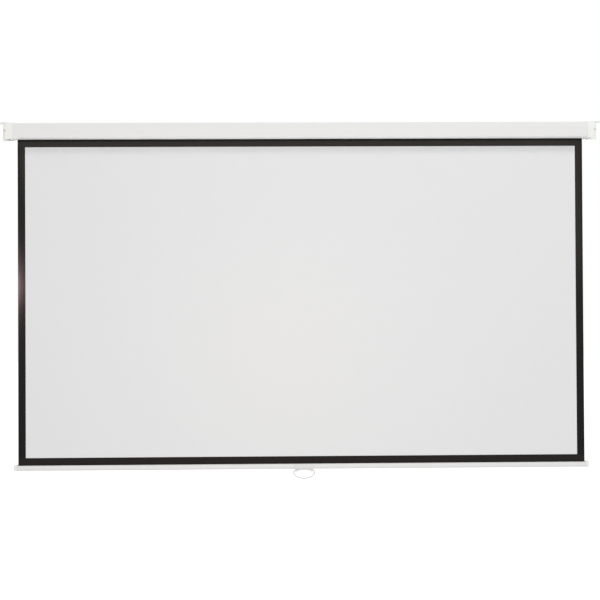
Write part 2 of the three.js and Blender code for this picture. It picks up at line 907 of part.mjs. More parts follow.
function makeBarTube() {
  const outside = alongX(roundedPath(barOutline, 0, false), -barHalf, barHalf);
  const inside = alongX(roundedPath(barOutline, -barWall, false), -barHalf - overrun, barHalf + overrun);
  const slot = box(
    -barHalf - overrun,
    barHalf + overrun,
    fabricMiddle - barSlot / 2,
    fabricMiddle + barSlot / 2,
    barTop - barWall - overrun,
    barTop + overrun,
  );
  return cut(outside, inside, slot);
}

function makeHemStrip() {
  const half = fabricWidth / 2;
  const stripFoot = pocketZ + pocketInner + laminate / 2;
  const strip = box(-half, half, fabricFront, fabricFront + laminate, stripFoot, hemTop);
  const pocket = turnedAboutX(
    [
      [-hemRodHalf, pocketInner],
      [-hemRodHalf, pocketOuter],
      [hemRodHalf, pocketOuter],
      [hemRodHalf, pocketInner],
      [-hemRodHalf, pocketInner],
    ],
    fabricMiddle,
    pocketZ,
    smallTurnSteps,
  );
  return join(strip, pocket);
}

// Bar end cap, right-hand: a rounded moulding a little taller than the bar, with a plug that fills the
// bottom of the tube under the hem.
const barCapWidth = 14;

function makeBarCap() {
  const rise = 4.8;
  const grow = 0.8;
  const endRadius = 7;
  const endSteps = 4;
  const plugLength = 14;
  const start = barHalf + seatGap;
  const outline = barOutline.map((corner) => ({
    ...corner,
    z: corner.z === barTop ? corner.z + rise - grow : corner.z,
  }));
  const rings = [{ x: start, points: roundedPath(outline, grow, false) }];
  for (let k = 0; k <= endSteps; k++) {
    const angle = ((Math.PI / 2) * k) / endSteps;
    rings.push({
      x: start + barCapWidth - endRadius * (1 - Math.sin(angle)),
      points: roundedPath(outline, grow - endRadius * (1 - Math.cos(angle)), false),
    });
  }
  const plug = alongX(
    roundedPath(barOutline, -barWall - seatGap, false),
    barHalf - plugLength,
    start + barCapWidth / 2,
  );
  const hemRoom = box(
    barHalf - plugLength - overrun,
    start,
    fabricMiddle - barDepth,
    fabricMiddle + barDepth,
    pocketZ - pocketOuter - seatGap,
    barTop + overrun,
  );
  return join(loftAlongX(rings), cut(plug, hemRoom));
}

// Handle saddle: a moulded clip round the bar with an arched lower edge and a lug at each end, in which
// the pull loop swings.
const saddleHalf = 36.5;
const saddleWall = 2;
const lugDrop = 11;
const lugWidth = 7;
const lugDepth = 8;
const loopPivotDrop = 7;
const loopPinDepth = 5.5;
const loopRadius = 2.2;
const loopPivotZ = barBottom - loopPivotDrop;
const saddleScrewShank = 1.4;
const saddleArch = 3;
const saddleScrewHole = (z0, z1, x) =>
  rodAboutZ(saddleScrewShank + seatGap, z0 - overrun, z1 + overrun, x, fabricMiddle);

function makeSaddle() {
  const rimBelowTop = 3;
  const cornerRadius = 3;
  const outer = alongX(roundedPath(barOutline, saddleWall + seatGap, false), -saddleHalf, saddleHalf);
  const barRoom = alongX(
    roundedPath(barOutline, seatGap, false),
    -saddleHalf - overrun,
    saddleHalf + overrun,
  );
  const openTop = box(
    -saddleHalf - overrun,
    saddleHalf + overrun,
    fabricMiddle - barDepth,
    fabricMiddle + barDepth,
    barTop - rimBelowTop,
    barTop + barHeight,
  );
  const web = new THREE.Shape();
  web.moveTo(-saddleHalf, barBottom + barWall);
  web.lineTo(-saddleHalf, barBottom - lugDrop + cornerRadius);
  web.quadraticCurveTo(-saddleHalf, barBottom - lugDrop, cornerRadius - saddleHalf, barBottom - lugDrop);
  web.lineTo(lugWidth - saddleHalf, barBottom - lugDrop);
  web.quadraticCurveTo(-saddleHalf / 2, barBottom - saddleArch, 0, barBottom - saddleArch);
  web.quadraticCurveTo(saddleHalf / 2, barBottom - saddleArch, saddleHalf - lugWidth, barBottom - lugDrop);
  web.lineTo(saddleHalf - cornerRadius, barBottom - lugDrop);
  web.quadraticCurveTo(saddleHalf, barBottom - lugDrop, saddleHalf, barBottom - lugDrop + cornerRadius);
  web.lineTo(saddleHalf, barBottom + barWall);
  const webBody = alongY(
    web.getPoints(cornerSteps),
    fabricMiddle - lugDepth / 2,
    fabricMiddle + lugDepth / 2,
  );
  const pivot = rodAboutX(
    loopRadius + seatGap,
    saddleHalf - loopPinDepth - seatGap,
    saddleHalf + overrun,
    fabricMiddle,
    loopPivotZ,
  );
  const screwHole = saddleScrewHole(barBottom - lugDrop, barBottom, 0);
  const saddle = cut(join(outer, webBody), barRoom, openTop, pivot, mirroredInX(pivot), screwHole);
  return saddle.translate(handleOffset, 0, 0);
}

// Pull loop: a bail whose ends turn inwards through the lugs. Half an oval below, a short curve up to each
// pivot.
function makePullLoop() {
  const loopAside = 5.5;
  const halfWidth = saddleHalf + loopAside;
  const shoulderDrop = 7;
  const loopDrop = 31;
  const bend = 4.5;
  const ovalSteps = 24;
  const pinEnd = saddleHalf - loopPinDepth;
  const half = [
    [pinEnd, 0],
    [saddleHalf + seatGap, 0],
    [saddleHalf + bend / 2, -bend / 8],
    [halfWidth - bend / 3, -shoulderDrop / 2],
  ];
  for (let k = 0; k <= ovalSteps / 2; k++) {
    const angle = (Math.PI * k) / ovalSteps;
    half.push([halfWidth * Math.cos(angle), -shoulderDrop - (loopDrop - shoulderDrop) * Math.sin(angle)]);
  }
  const rest = half.slice(0, -1).reverse().map(([x, z]) => [-x, z]);
  const line = [...half, ...rest].map(
    ([x, z]) => new THREE.Vector3(handleOffset + x, fabricMiddle, loopPivotZ + z),
  );
  return sweep(line, loopRadius, loopRadius, 10, new THREE.Vector3(0, 1, 0));
}

add("case_shell", makeCaseShell(), whiteSteel);
add("end_cap_right", makeEndCap(tangSocket(), floorWindow(windowStart + shortWindow)), whitePlastic);
add("end_cap_left", mirroredInX(makeEndCap(bushSocket(), floorWindow(cavityEnd))), whitePlastic);
for (const [side, x] of [["left", -capScrewX], ["right", capScrewX]]) {
  const topScrew = makeUprightScrew(x, rollerY, capTop + seatGap, capScrewShank, false);
  const bottomScrew = makeUprightScrew(x, rollerY, capBottom - seatGap, capScrewShank, true);
  add(`cap_screw_${side}_top`, topScrew, zincSteel);
  add(`cap_screw_${side}_bottom`, bottomScrew, zincSteel);
}

add("roller_tube", makeRollerTube(), bareSteel);
add("fabric_wrap", makeFabricWrap(), blackBacking);
add(
  "fabric_spline",
  rodAboutX(splineRadius, -fabricWidth / 2, fabricWidth / 2, splineY, splineZ, splineSteps),
  greyNylon,
);
add("idler_plug", mirroredInX(makeTubePlug()), greyNylon);
add("idler_pin", mirroredInX(makeIdlerPin()), zincSteel);
add("idler_bush", mirroredInX(makeIdlerBush()), greyNylon);

add("bearing_plug", makeTubePlug(), greyNylon);
add("spring_shaft", makeSpringShaft(), zincSteel);
add("spring_collar", ringOnShaft(collarOuter - collarWidth, collarOuter, collarRadius), zincSteel);
add("torsion_spring", makeTorsionSpring(), springSteel);
add("spring_hub", makeSpringHub(), greyNylon);
add("ratchet_wheel", makeRatchetWheel(), zincSteel);
for (const [place, turned] of [["upper", 0], ["lower", Math.PI]]) {
  add(`pawl_${place}`, makePawl(turned), zincSteel);
  add(`pawl_pin_${place}`, makePawlPin(turned), zincSteel);
}

add("mask_border", makeMaskBorder(), blackFilm);
add("viewing_fabric", fabricSheet(fabricFace, fabricThickness), whiteFabric);
add("fabric_backing", fabricSheet(backingFace, filmThickness), blackBacking);

add(
  "bar_tube",
  cut(makeBarTube(), saddleScrewHole(barBottom, barBottom + barWall, handleOffset)),
  whiteSteel,
);
add("hem_strip", makeHemStrip(), blackFilm);
add("hem_rod", rodAboutX(hemRodRadius, -hemRodHalf, hemRodHalf, fabricMiddle, pocketZ), bareSteel);
add("bar_cap_right", makeBarCap(), whitePlastic);
add("bar_cap_left", mirroredInX(makeBarCap()), whitePlastic);
add("handle_saddle", makeSaddle(), whitePlastic);
add(
  "saddle_screw",
  makeUprightScrew(handleOffset, fabricMiddle, barBottom - saddleArch - seatGap, saddleScrewShank, true),
  zincSteel,
);
add("pull_loop", makePullLoop(), whitePlastic);

export default screen;
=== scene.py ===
# %% [markdown]
# A pull down projector screen is a roller blind with a picture area. A folded steel case holds the roller,
# two moulded caps close its ends, and a coated fabric with a black border hangs from it to a weight bar
# with a pull loop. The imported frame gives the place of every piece. Here the pieces that show are made
# again as smooth surfaces, and every piece gets a finish of its own.

# %% Load the frame
import json
import math

import bmesh
import bpy
import numpy as np
from mathutils import Matrix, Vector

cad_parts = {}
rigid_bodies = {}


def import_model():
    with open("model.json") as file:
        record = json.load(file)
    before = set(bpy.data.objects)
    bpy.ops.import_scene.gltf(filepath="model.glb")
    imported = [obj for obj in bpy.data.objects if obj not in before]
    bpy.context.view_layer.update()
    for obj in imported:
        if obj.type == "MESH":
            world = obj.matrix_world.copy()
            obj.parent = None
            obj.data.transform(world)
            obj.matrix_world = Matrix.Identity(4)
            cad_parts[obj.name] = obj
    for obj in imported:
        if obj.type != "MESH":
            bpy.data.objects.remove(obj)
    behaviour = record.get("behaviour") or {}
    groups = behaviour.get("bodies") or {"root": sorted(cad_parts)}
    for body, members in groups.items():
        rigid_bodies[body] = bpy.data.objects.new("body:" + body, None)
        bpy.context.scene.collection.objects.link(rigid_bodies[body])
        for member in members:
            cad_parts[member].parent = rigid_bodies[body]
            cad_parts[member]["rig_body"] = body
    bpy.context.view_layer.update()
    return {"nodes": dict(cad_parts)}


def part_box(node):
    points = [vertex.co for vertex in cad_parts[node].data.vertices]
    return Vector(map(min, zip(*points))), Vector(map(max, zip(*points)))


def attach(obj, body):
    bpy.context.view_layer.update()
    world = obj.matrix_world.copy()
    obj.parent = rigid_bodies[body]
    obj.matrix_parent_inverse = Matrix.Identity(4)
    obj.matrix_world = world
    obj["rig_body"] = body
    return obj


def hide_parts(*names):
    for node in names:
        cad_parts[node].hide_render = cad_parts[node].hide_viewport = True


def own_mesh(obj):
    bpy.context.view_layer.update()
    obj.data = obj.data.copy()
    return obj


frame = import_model()
MM = 0.001


def box_mm(node):
    """Lowest and highest corner of a node of the frame at rest, in millimetres."""
    return np.array(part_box(node)) / MM


# %% [markdown]
# The camera comes first, so that every later piece can be judged in the photograph's own view. Its pose was
# worked out from the straight edges of the border: a long lens stands 4.4 m in front of the fabric, at the
# height of the picture's middle, turned a little to the right and rolled a little, because no tripod is
# quite square.

# %% Camera
CAMERA_PLACE = np.array([-78.1, -4368.4, -739.4])
CAMERA_YAW = math.radians(0.932)
CAMERA_PITCH = math.radians(0.61)
CAMERA_ROLL = math.radians(-0.301)
LENS = 65
SENSOR = 36


def camera_axes(yaw, pitch, roll):
    """Right, up and forward of a camera along +Y, turned right by yaw, up by pitch and over by roll."""
    forward = np.array([math.sin(yaw) * math.cos(pitch), math.cos(yaw) * math.cos(pitch), math.sin(pitch)])
    level = np.array([math.cos(yaw), -math.sin(yaw), 0.0])
    upright = np.cross(level, forward)
    right = level * math.cos(roll) + upright * math.sin(roll)
    return right, np.cross(right, forward), forward


def pose_matrix(right, up, back, place):
    """Matrix of an object whose own X, Y and Z lie along right, up and back, at a place in millimetres."""
    pose = np.eye(4)
    pose[:3] = np.stack([right, up, back, np.array(place) * MM], axis=1)
    return Matrix(pose.tolist())


def place_camera():
    """Stand the camera at its place, looking along its own forward direction."""
    right, up, forward = camera_axes(CAMERA_YAW, CAMERA_PITCH, CAMERA_ROLL)
    camera = bpy.data.objects.new("camera", bpy.data.cameras.new("camera"))
    camera.data.lens = LENS
    camera.data.sensor_width = SENSOR
    camera.matrix_world = pose_matrix(right, up, -forward, CAMERA_PLACE)
    bpy.context.scene.collection.objects.link(camera)
    bpy.context.scene.camera = camera


place_camera()
print("camera stands", round(float(np.linalg.norm(CAMERA_PLACE)) * MM, 2), "m from the wall screws")

# %% [markdown]
# A shader is a small network of nodes, and every finish below is one. This helper adds a node, writes its
# settings and links its sockets in one call, so that each finish reads as a short recipe.

# %% Node helper


def add_node(tree, kind, inputs=None, **settings):
    """Add a node: settings are its properties, inputs give its sockets values or other nodes' outputs."""
    made = tree.nodes.new("ShaderNode" + kind)
    for name, value in settings.items():
        setattr(made, name, value)
    for name, value in (inputs or {}).items():
        if isinstance(value, bpy.types.NodeSocket):
            tree.links.new(value, made.inputs[name])
        else:
            made.inputs[name].default_value = value
    return made


def maths(tree, operation, first, second=0.0, third=0.0, clamp=False):
    """One arithmetic step between values or sockets."""
    inputs = {0: first, 1: second, 2: third}
    return add_node(tree, "Math", inputs, operation=operation, use_clamp=clamp).outputs[0]


def tone(red, green, blue):
    """A colour as a screen shows it, 0 to 255, as the linear values that a shader takes."""
    shown = np.array([red, green, blue]) / 255
    linear = np.where(shown <= 0.04045, shown / 12.92, ((shown + 0.055) / 1.055) ** 2.4)
    return (*(float(value) for value in linear), 1.0)


# %% [markdown]
# The light is that of a white product studio, and an even world gives most of it. Rays from the camera, and
# those mirrored by gloss, see a pure white world, as the photograph has. All others see a slightly darker
# one, which leaves the lamps something to add.

# %% World
WORLD_LEVEL = 0.78


def make_world():
    """An even white, a little lower as a source of light than where the camera or gloss sees it."""
    world = bpy.data.worlds.new("white studio")
    world.use_nodes = True
    tree = world.node_tree
    tree.nodes.clear()
    path = add_node(tree, "LightPath").outputs
    seen = maths(tree, "ADD", path["Is Camera Ray"], path["Is Glossy Ray"])
    seen = maths(tree, "ADD", seen, path["Is Transmission Ray"], clamp=True)
    level = maths(tree, "MULTIPLY_ADD", seen, 1.0 - WORLD_LEVEL, WORLD_LEVEL)
    light = add_node(tree, "Background", {"Color": (1, 1, 1, 1), "Strength": level})
    add_node(tree, "OutputWorld", {"Surface": light.outputs[0]})
    bpy.context.scene.world = world


make_world()
bpy.context.scene.view_settings.view_transform = "Standard"
print("the world lights with", WORLD_LEVEL, "of the white that it shows")

# %% [markdown]
# A small, warm panel near the fabric lights its middle a little more than its edges, and a large one high
# on the right lights the sloping front of the case and lays the case's soft shadow on the top of the
# fabric. The gloss lamps matter for one thing, the black border, which is a glossy film. A long warm strip
# above the camera shows in its upper part, a dimmer strip on each side shows in its outer edges, and a pair
# of small pink lamps lights a short stretch of its left edge.

# %% Lamps
SOFT_PANELS = {
    "panel_near": {"place": (-80, -1200, -890), "size": (800, 500), "power": 1.3, "colour": (1, 0.9, 0.6)},
    "panel_high": {"place": (1450, -3850, 3650), "size": (1500, 1000), "power": 70, "target": (0, 0, -200)},
}
GLOSS_LAMPS = {
    "strip_high": {"place": (75, -4200, 560), "size": (4600, 700), "power": 18.5, "colour": (1, 0.82, 0.64)},
    "strip_left": {"place": (-2550, -4200, -464), "size": (900, 400), "power": 4.2, "colour": (1, 0.68, 0.68)},
    "strip_right": {"place": (2400, -4200, -120), "size": (800, 660), "power": 2.3, "colour": (1, 0.86, 0.72)},
    "lamp_left": {"place": (-2950, -4190, -530), "size": (600, 130), "power": 13.5, "colour": (1, 0.63, 0.66)},
    "lamp_left_tail": {"place": (-2400, -4190, -530), "size": (500, 130), "power": 4.8,
                       "colour": (1, 0.66, 0.68)},
}


def add_area_light(name, place, size, power, colour=(1, 1, 1), target=None):
    """A rectangular lamp at a place in millimetres. It faces a target, or else the wall, and isn't seen."""
    data = bpy.data.lights.new(name, "AREA")
    data.shape = "RECTANGLE"
    data.color = colour
    data.size, data.size_y = (side * MM for side in size)
    data.energy = power
    back = np.array(place, float) - np.array(target or (place[0], 0, place[2]), float)
    back /= np.linalg.norm(back)
    right = np.cross([0.0, 0.0, 1.0], back)
    right /= np.linalg.norm(right)
    lamp = bpy.data.objects.new(name, data)
    lamp.matrix_world = pose_matrix(right, np.cross(back, right), back, place)
    lamp.visible_camera = False
    bpy.context.scene.collection.objects.link(lamp)
    return lamp


for panel_name, facts in SOFT_PANELS.items():
    add_area_light(panel_name, **facts).visible_glossy = False
for lamp_name, facts in GLOSS_LAMPS.items():
    add_area_light(lamp_name, **facts).visible_diffuse = False

# %% [markdown]
# The floor of such a studio is pale too. It lies 2.3 m below the case, where a room's floor would be. It
# glows a little by itself, and more where the camera sees it, which lifts it to white while the object's
# shadow stays.

# %% Floor
FLOOR_LEVEL = -2300
FLOOR_REACH = 30000
FLOOR_GLOW = 0.05
SEEN_GLOW = 0.4


def make_floor():
    """One large square. It glows a little, and more to rays from the camera and through glass."""
    corners = np.array([(-1, -1, 0), (1, -1, 0), (1, 1, 0), (-1, 1, 0)]) * FLOOR_REACH + [0, 0, FLOOR_LEVEL]
    mesh = bpy.data.meshes.new("floor")
    mesh.from_pydata(corners * MM, [], [(0, 1, 2, 3)])
    floor = bpy.data.objects.new("floor", mesh)
    bpy.context.scene.collection.objects.link(floor)
    material = bpy.data.materials.new("pale floor")
    material.use_nodes = True
    tree = material.node_tree
    tree.nodes.clear()
    path = add_node(tree, "LightPath").outputs
    seen = maths(tree, "ADD", path["Is Camera Ray"], path["Is Transmission Ray"], clamp=True)
    matte = add_node(tree, "BsdfDiffuse", {"Color": tone(244, 244, 244)})
    glow = add_node(tree, "Emission", {"Strength": maths(tree, "MULTIPLY_ADD", seen, SEEN_GLOW, FLOOR_GLOW)})
    both = add_node(tree, "AddShader", {0: matte.outputs[0], 1: glow.outputs[0]})
    add_node(tree, "OutputMaterial", {"Surface": both.outputs[0]})
    mesh.materials.append(material)


make_floor()
print("floor at", FLOOR_LEVEL, "mm")

# %% [markdown]
# Four effects are shared by several finishes, so each is a node group, built once. A group has named inputs
# and outputs, as a function has, and each material places it with values of its own.

# %% Node group helpers
GROUPS = {}


def new_group(name, inputs, outputs):
    """Start a node group with named sockets. Returns it, its inputs and a function that sets its outputs."""
    group = GROUPS[name] = bpy.data.node_groups.new(name, "ShaderNodeTree")
    for label, value in inputs.items():
        kind = "NodeSocketVector" if value is None else "NodeSocketFloat"
        socket = group.interface.new_socket(label, in_out="INPUT", socket_type=kind)
        if value is not None:
            socket.default_value = value
    for label in outputs:
        group.interface.new_socket(label, in_out="OUTPUT", socket_type="NodeSocketFloat")
    entry = group.nodes.new("NodeGroupInput").outputs
    leave = group.nodes.new("NodeGroupOutput").inputs

    def put_out(label, socket):
        """Send a socket to one of the group's outputs."""
        group.links.new(socket, leave[label])

    print(f"group {name} puts out", *outputs)
    return group, entry, put_out


def noise(tree, vector, scale, detail=2.0, rough=0.5):
    """Cloudy noise from 0 to 1, with scale in clouds to a metre."""
    inputs = {"Vector": vector, "Scale": scale, "Detail": detail, "Roughness": rough}
    return add_node(tree, "TexNoise", inputs).outputs["Fac"]


# %% [markdown]
# Grain is the fine texture of moulded plastic and of powder paint. Noise suits it, because such a surface
# repeats nowhere.

# %% Grain


def make_grain():
    """Height is fine noise. Shade multiplies a colour: one, plus or minus a share of slower noise."""
    group, entry, put_out = new_group("grain", {"Vector": None, "Scale": 1200.0, "Contrast": 0.03},
                                      ["Height", "Shade"])
    put_out("Height", noise(group, entry["Vector"], entry["Scale"], 3.0))
    slow = noise(group, entry["Vector"], maths(group, "MULTIPLY", entry["Scale"], 0.02), 4.0)
    swing = maths(group, "MULTIPLY", maths(group, "SUBTRACT", slow, 0.5), entry["Contrast"])
    put_out("Shade", maths(group, "ADD", swing, 1.0))


make_grain()

# %% [markdown]
# Weave is the over and under of the threads in a cloth. Two sines cross, and the sign of their product
# changes from one crossing to the next, which is just how a plain weave goes over and under.

# %% Weave


def make_weave():
    """Warp along Z and weft along X are rounded ridges, |sin|. The sign of sin times sin puts one on top."""
    group, entry, put_out = new_group("weave", {"Vector": None, "Threads": 1600.0}, ["Height", "Gap"])
    axes = add_node(group, "SeparateXYZ", {0: entry["Vector"]}).outputs
    turns = maths(group, "MULTIPLY", entry["Threads"], math.pi)
    waves = [maths(group, "SINE", maths(group, "MULTIPLY", axes[axis], turns)) for axis in ("X", "Z")]
    ridges = [maths(group, "ABSOLUTE", wave) for wave in waves]
    over = maths(group, "GREATER_THAN", maths(group, "MULTIPLY", *waves), 0.0)
    under = maths(group, "SUBTRACT", 1.0, over)
    height = maths(group, "MULTIPLY_ADD", ridges[0], over, maths(group, "MULTIPLY", ridges[1], under))
    put_out("Height", height)
    put_out("Gap", maths(group, "SUBTRACT", 1.0, maths(group, "MAXIMUM", *ridges)))


make_weave()

# %% [markdown]
# Draw marks are the long scratches that rolling and drawing leave in metal. They are noise again, pulled
# out along the roller, which is the way that the tube and the shaft are drawn.

# %% Draw marks


def make_draw_marks():
    """Noise stretched a hundredfold along X, so that it becomes long scratches along the piece."""
    group, entry, put_out = new_group("draw marks", {"Vector": None, "Scale": 900.0, "Contrast": 0.1},
                                      ["Height", "Shade"])
    stretched = add_node(group, "VectorMath", {0: entry["Vector"], 1: (0.01, 1.0, 1.0)}, operation="MULTIPLY")
    lines = noise(group, stretched.outputs[0], entry["Scale"], 4.0, 0.6)
    put_out("Height", lines)
    swing = maths(group, "MULTIPLY", maths(group, "SUBTRACT", lines, 0.5), entry["Contrast"])
    put_out("Shade", maths(group, "ADD", swing, 1.0))


make_draw_marks()

# %% [markdown]
# Handling is the slow change in gloss where hands, dust and packing have touched a surface. It moves the
# roughness alone, so it shows in reflections and nowhere else.

# %% Handling


def make_handling():
    """Soft blotches a hand wide with finer streaks in them, added to roughness in a share called Amount."""
    group, entry, put_out = new_group("handling", {"Vector": None, "Amount": 0.08, "Base": 0.4},
                                      ["Roughness"])
    blotches = noise(group, entry["Vector"], 9.0, 3.0)
    streaks = noise(group, entry["Vector"], 60.0, 4.0, 0.6)
    both = maths(group, "MULTIPLY_ADD", streaks, 0.4, maths(group, "MULTIPLY", blotches, 0.6))
    put_out("Roughness", maths(group, "MULTIPLY_ADD", maths(group, "SUBTRACT", both, 0.5), entry["Amount"],
                               entry["Base"]))


make_handling()

# %% [markdown]
# A finish starts from a colour and a gloss. Its groups then shift the colour a little, roughen the gloss in
# places and raise a relief of a few hundredths of a millimetre or less, which is what makes paint look like
# paint.

# %% Finish helpers


def start_finish(name, roughness, handling, **sockets):
    """A material, its Principled shader and its Object coordinates, with roughness varied about a base."""
    material = bpy.data.materials.new(name)
    material.use_nodes = True
    tree = material.node_tree
    shader = tree.nodes["Principled BSDF"]
    for label, value in sockets.items():
        shader.inputs[label.replace("_", " ")].default_value = value
    place = add_node(tree, "TexCoord").outputs["Object"]
    gloss = place_group(tree, "handling", {"Vector": place, "Amount": handling, "Base": roughness})
    tree.links.new(gloss["Roughness"], shader.inputs["Roughness"])
    return material, tree, shader, place


def place_group(tree, name, inputs):
    """Put a shared group into a material and return its outputs."""
    return add_node(tree, "Group", inputs, node_tree=GROUPS[name]).outputs


def tint(tree, shader, colour, shade):
    """Multiply a colour by a shade that changes over the surface, and send it to Base Color."""
    mixed = add_node(tree, "Mix", {"Factor": 1.0}, data_type="RGBA", blend_type="MULTIPLY")
    mixed.inputs[6].default_value = colour
    tree.links.new(shade, mixed.inputs[7])
    tree.links.new(mixed.outputs[2], shader.inputs["Base Color"])


def relief(tree, shader, height, depth):
    """Turn a height from 0 to 1 into a bump of a depth in millimetres."""
    bump = add_node(tree, "Bump", {"Height": height, "Distance": depth * MM}).outputs[0]
    tree.links.new(bump, shader.inputs["Normal"])


# %% [markdown]
# Three recipes cover the whole object. Paint and moulded plastic have grain, bare metal has drawing marks,
# and coated cloth shows its threads.

# %% Finish recipes


def grainy(name, colour, roughness, handling, scale, contrast, depth, **sockets):
    """Paint and moulded plastic: grain in the colour and in the relief."""
    material, tree, shader, place = start_finish(name, roughness, handling, **sockets)
    grain = place_group(tree, "grain", {"Vector": place, "Scale": scale, "Contrast": contrast})
    tint(tree, shader, colour, grain["Shade"])
    relief(tree, shader, grain["Height"], depth)
    return material


def drawn(name, colour, roughness, handling, scale, contrast, depth, **sockets):
    """Bare metal: drawing marks along the piece over a slow change of tone."""
    material, tree, shader, place = start_finish(name, roughness, handling, Metallic=1.0, **sockets)
    marks = place_group(tree, "draw marks", {"Vector": place, "Scale": scale, "Contrast": contrast})
    cloud = place_group(tree, "grain", {"Vector": place, "Scale": scale, "Contrast": contrast})
    tint(tree, shader, colour, maths(tree, "MULTIPLY", marks["Shade"], cloud["Shade"]))
    relief(tree, shader, marks["Height"], depth)
    return material


def woven(name, colour, roughness, handling, threads, gap_shade, depth, **sockets):
    """Coated cloth: the threads show through the coating as a faint relief, a little darker between them."""
    material, tree, shader, place = start_finish(name, roughness, handling, **sockets)
    weave = place_group(tree, "weave", {"Vector": place, "Threads": threads})
    grain = place_group(tree, "grain", {"Vector": place, "Scale": threads, "Contrast": 0.015})
    shade = maths(tree, "MULTIPLY_ADD", weave["Gap"], -gap_shade, grain["Shade"])
    tint(tree, shader, colour, shade)
    relief(tree, shader, weave["Height"], depth)
    return material


# %% [markdown]
# The finishes are named for what they are on the real screen. The case is powder coated, which leaves a
# faint orange peel, and the bar has nearly the same coat. The caps are moulded in a slightly warmer white.
# The clip and the loop get a greyer white, which is partly their own tone and partly painted shade for the
# shade that falls on these small parts. The picture area is matt so that it throws no glare back, and the
# border is the opposite, a smooth black film, a little less smooth where it turns round the hem.

# %% Finishes
PAINTED = {"roughness": 0.40, "handling": 0.10, "scale": 700, "contrast": 0.02, "depth": 0.006}
MOULDED = {"roughness": 0.42, "handling": 0.10, "scale": 1500, "contrast": 0.02, "depth": 0.006}
FILM = {"threads": 1700, "gap_shade": 0.10, "depth": 0.001, "Specular_IOR_Level": 0.13}
powder_coat = grainy("white powder coat", tone(230, 230, 229), **PAINTED)
bar_coat = grainy("white bar coat", tone(229, 229, 229), **PAINTED)
moulded_white = grainy("moulded white plastic", tone(239, 239, 235), **MOULDED)
# The clip's and the loop's greyer tones below are partly painted shade: they are darker than the caps'
# moulding to stand in for the shade on these small parts.
clip_grey_and_painted_shade = grainy("clip plastic with painted shade", tone(225, 225, 225), **MOULDED)
loop_grey_and_painted_shade = grainy("pull loop plastic with painted shade", tone(214, 214, 214), roughness=0.34, handling=0.08, scale=1500,
                    contrast=0.02, depth=0.004)
nylon = grainy("natural nylon", tone(206, 205, 199), roughness=0.48, handling=0.10, scale=1100, contrast=0.04,
               depth=0.008)
matt_screen = woven("matt white screen", tone(231, 231, 233), roughness=0.88, handling=0.06, threads=1700,
                    gap_shade=0.02, depth=0.012, Specular_IOR_Level=0.2)
border_vinyl = woven("black border film", tone(26, 25, 24), roughness=0.13, handling=0.03, **FILM)
hem_vinyl = woven("black hem film", tone(33, 29, 28), roughness=0.26, handling=0.04, **FILM)
backing_cloth = woven("black backing cloth", tone(27, 27, 28), roughness=0.62, handling=0.08, threads=1200,
                      gap_shade=0.25, depth=0.03, Specular_IOR_Level=0.3)
roller_steel = drawn("galvanised steel", tone(176, 179, 181), roughness=0.34, handling=0.14, scale=500,
                     contrast=0.16, depth=0.004)
zinc_plate = drawn("zinc plated steel", tone(196, 197, 194), roughness=0.30, handling=0.12, scale=800,
                   contrast=0.10, depth=0.003)
spring_wire = drawn("spring wire", tone(112, 114, 118), roughness=0.36, handling=0.12, scale=1400,
                    contrast=0.20, depth=0.004)
print("finishes:", sorted(material.name for material in bpy.data.materials))

# %% [markdown]
# Most pieces of a screen are long sections or shells, so two kinds of surface cover nearly all of them: a
# thin sheet between two grids of points, and a body lofted through closed rings. Both are worked out with
# whole arrays.

# %% Surfaces


def sheet_faces(kept):
    """Quads of a closed thin sheet: a grid of points, the same grid behind, a rim round the kept cells."""
    rows, columns = kept.shape[0] + 1, kept.shape[1] + 1
    front = np.arange(rows * columns).reshape(rows, columns)
    back = front + rows * columns
    cell = np.stack([front[:-1, :-1], front[:-1, 1:], front[1:, 1:], front[1:, :-1]], axis=-1)[kept]
    padded = np.pad(kept, 1)
    r, c = np.nonzero(padded[:-1, 1:-1] != padded[1:, 1:-1])
    level_rim = np.stack([front[r, c], front[r, c + 1], back[r, c + 1], back[r, c]], axis=-1)
    r, c = np.nonzero(padded[1:-1, :-1] != padded[1:-1, 1:])
    upright_rim = np.stack([front[r, c], front[r + 1, c], back[r + 1, c], back[r, c]], axis=-1)
    return np.concatenate([cell, cell[:, ::-1] + rows * columns, level_rim, upright_rim]).tolist()


def thin_sheet(front, back, kept=None):
    """Points and faces of the closed sheet between two grids of shape (rows, columns, 3)."""
    if kept is None:
        kept = np.ones((front.shape[0] - 1, front.shape[1] - 1), bool)
    return np.concatenate([front.reshape(-1, 3), back.reshape(-1, 3)]), sheet_faces(kept)


def lofted(rings):
    """Points and faces of a body through closed rings, shape (rings, points, 3), flat at both ends."""
    count, around = rings.shape[:2]
    ring, step = np.meshgrid(np.arange(count - 1), np.arange(around), indexing="ij")
    here, after = ring * around + step, ring * around + (step + 1) % around
    quads = np.stack([here, after, after + around, here + around], axis=-1).reshape(-1, 4).tolist()
    ends = [list(range(around)), list(range((count - 1) * around, count * around))]
    return rings.reshape(-1, 3), quads + ends


# %% [markdown]
# Points and faces become an object. Its doubled points are merged and its faces turned outwards at once,
# because booleans and smooth shading both need a clean, closed mesh.

# %% Objects


def cleaned(mesh):
    """Merge points that coincide, drop loose ones and turn every face of the closed mesh outwards."""
    work = bmesh.new()
    work.from_mesh(mesh)
    bmesh.ops.remove_doubles(work, verts=work.verts, dist=1e-6)
    bmesh.ops.delete(work, geom=[vertex for vertex in work.verts if not vertex.link_faces], context="VERTS")
    bmesh.ops.recalc_face_normals(work, faces=work.faces)
    work.to_mesh(mesh)
    work.free()


def new_object(name, surface):
    """An object in the scene from points in millimetres and faces."""
    points, faces = surface
    mesh = bpy.data.meshes.new(name)
    mesh.from_pydata(np.asarray(points, float) * MM, [], faces)
    cleaned(mesh)
    made = bpy.data.objects.new(name, mesh)
    bpy.context.scene.collection.objects.link(made)
    return made


# %% [markdown]
# A moulding has bosses, ribs and holes, which are easiest as bodies of their own that are joined to the
# first or cut from it. A boolean does that, and its exact solver copes with faces that lie close together.

# %% Booleans


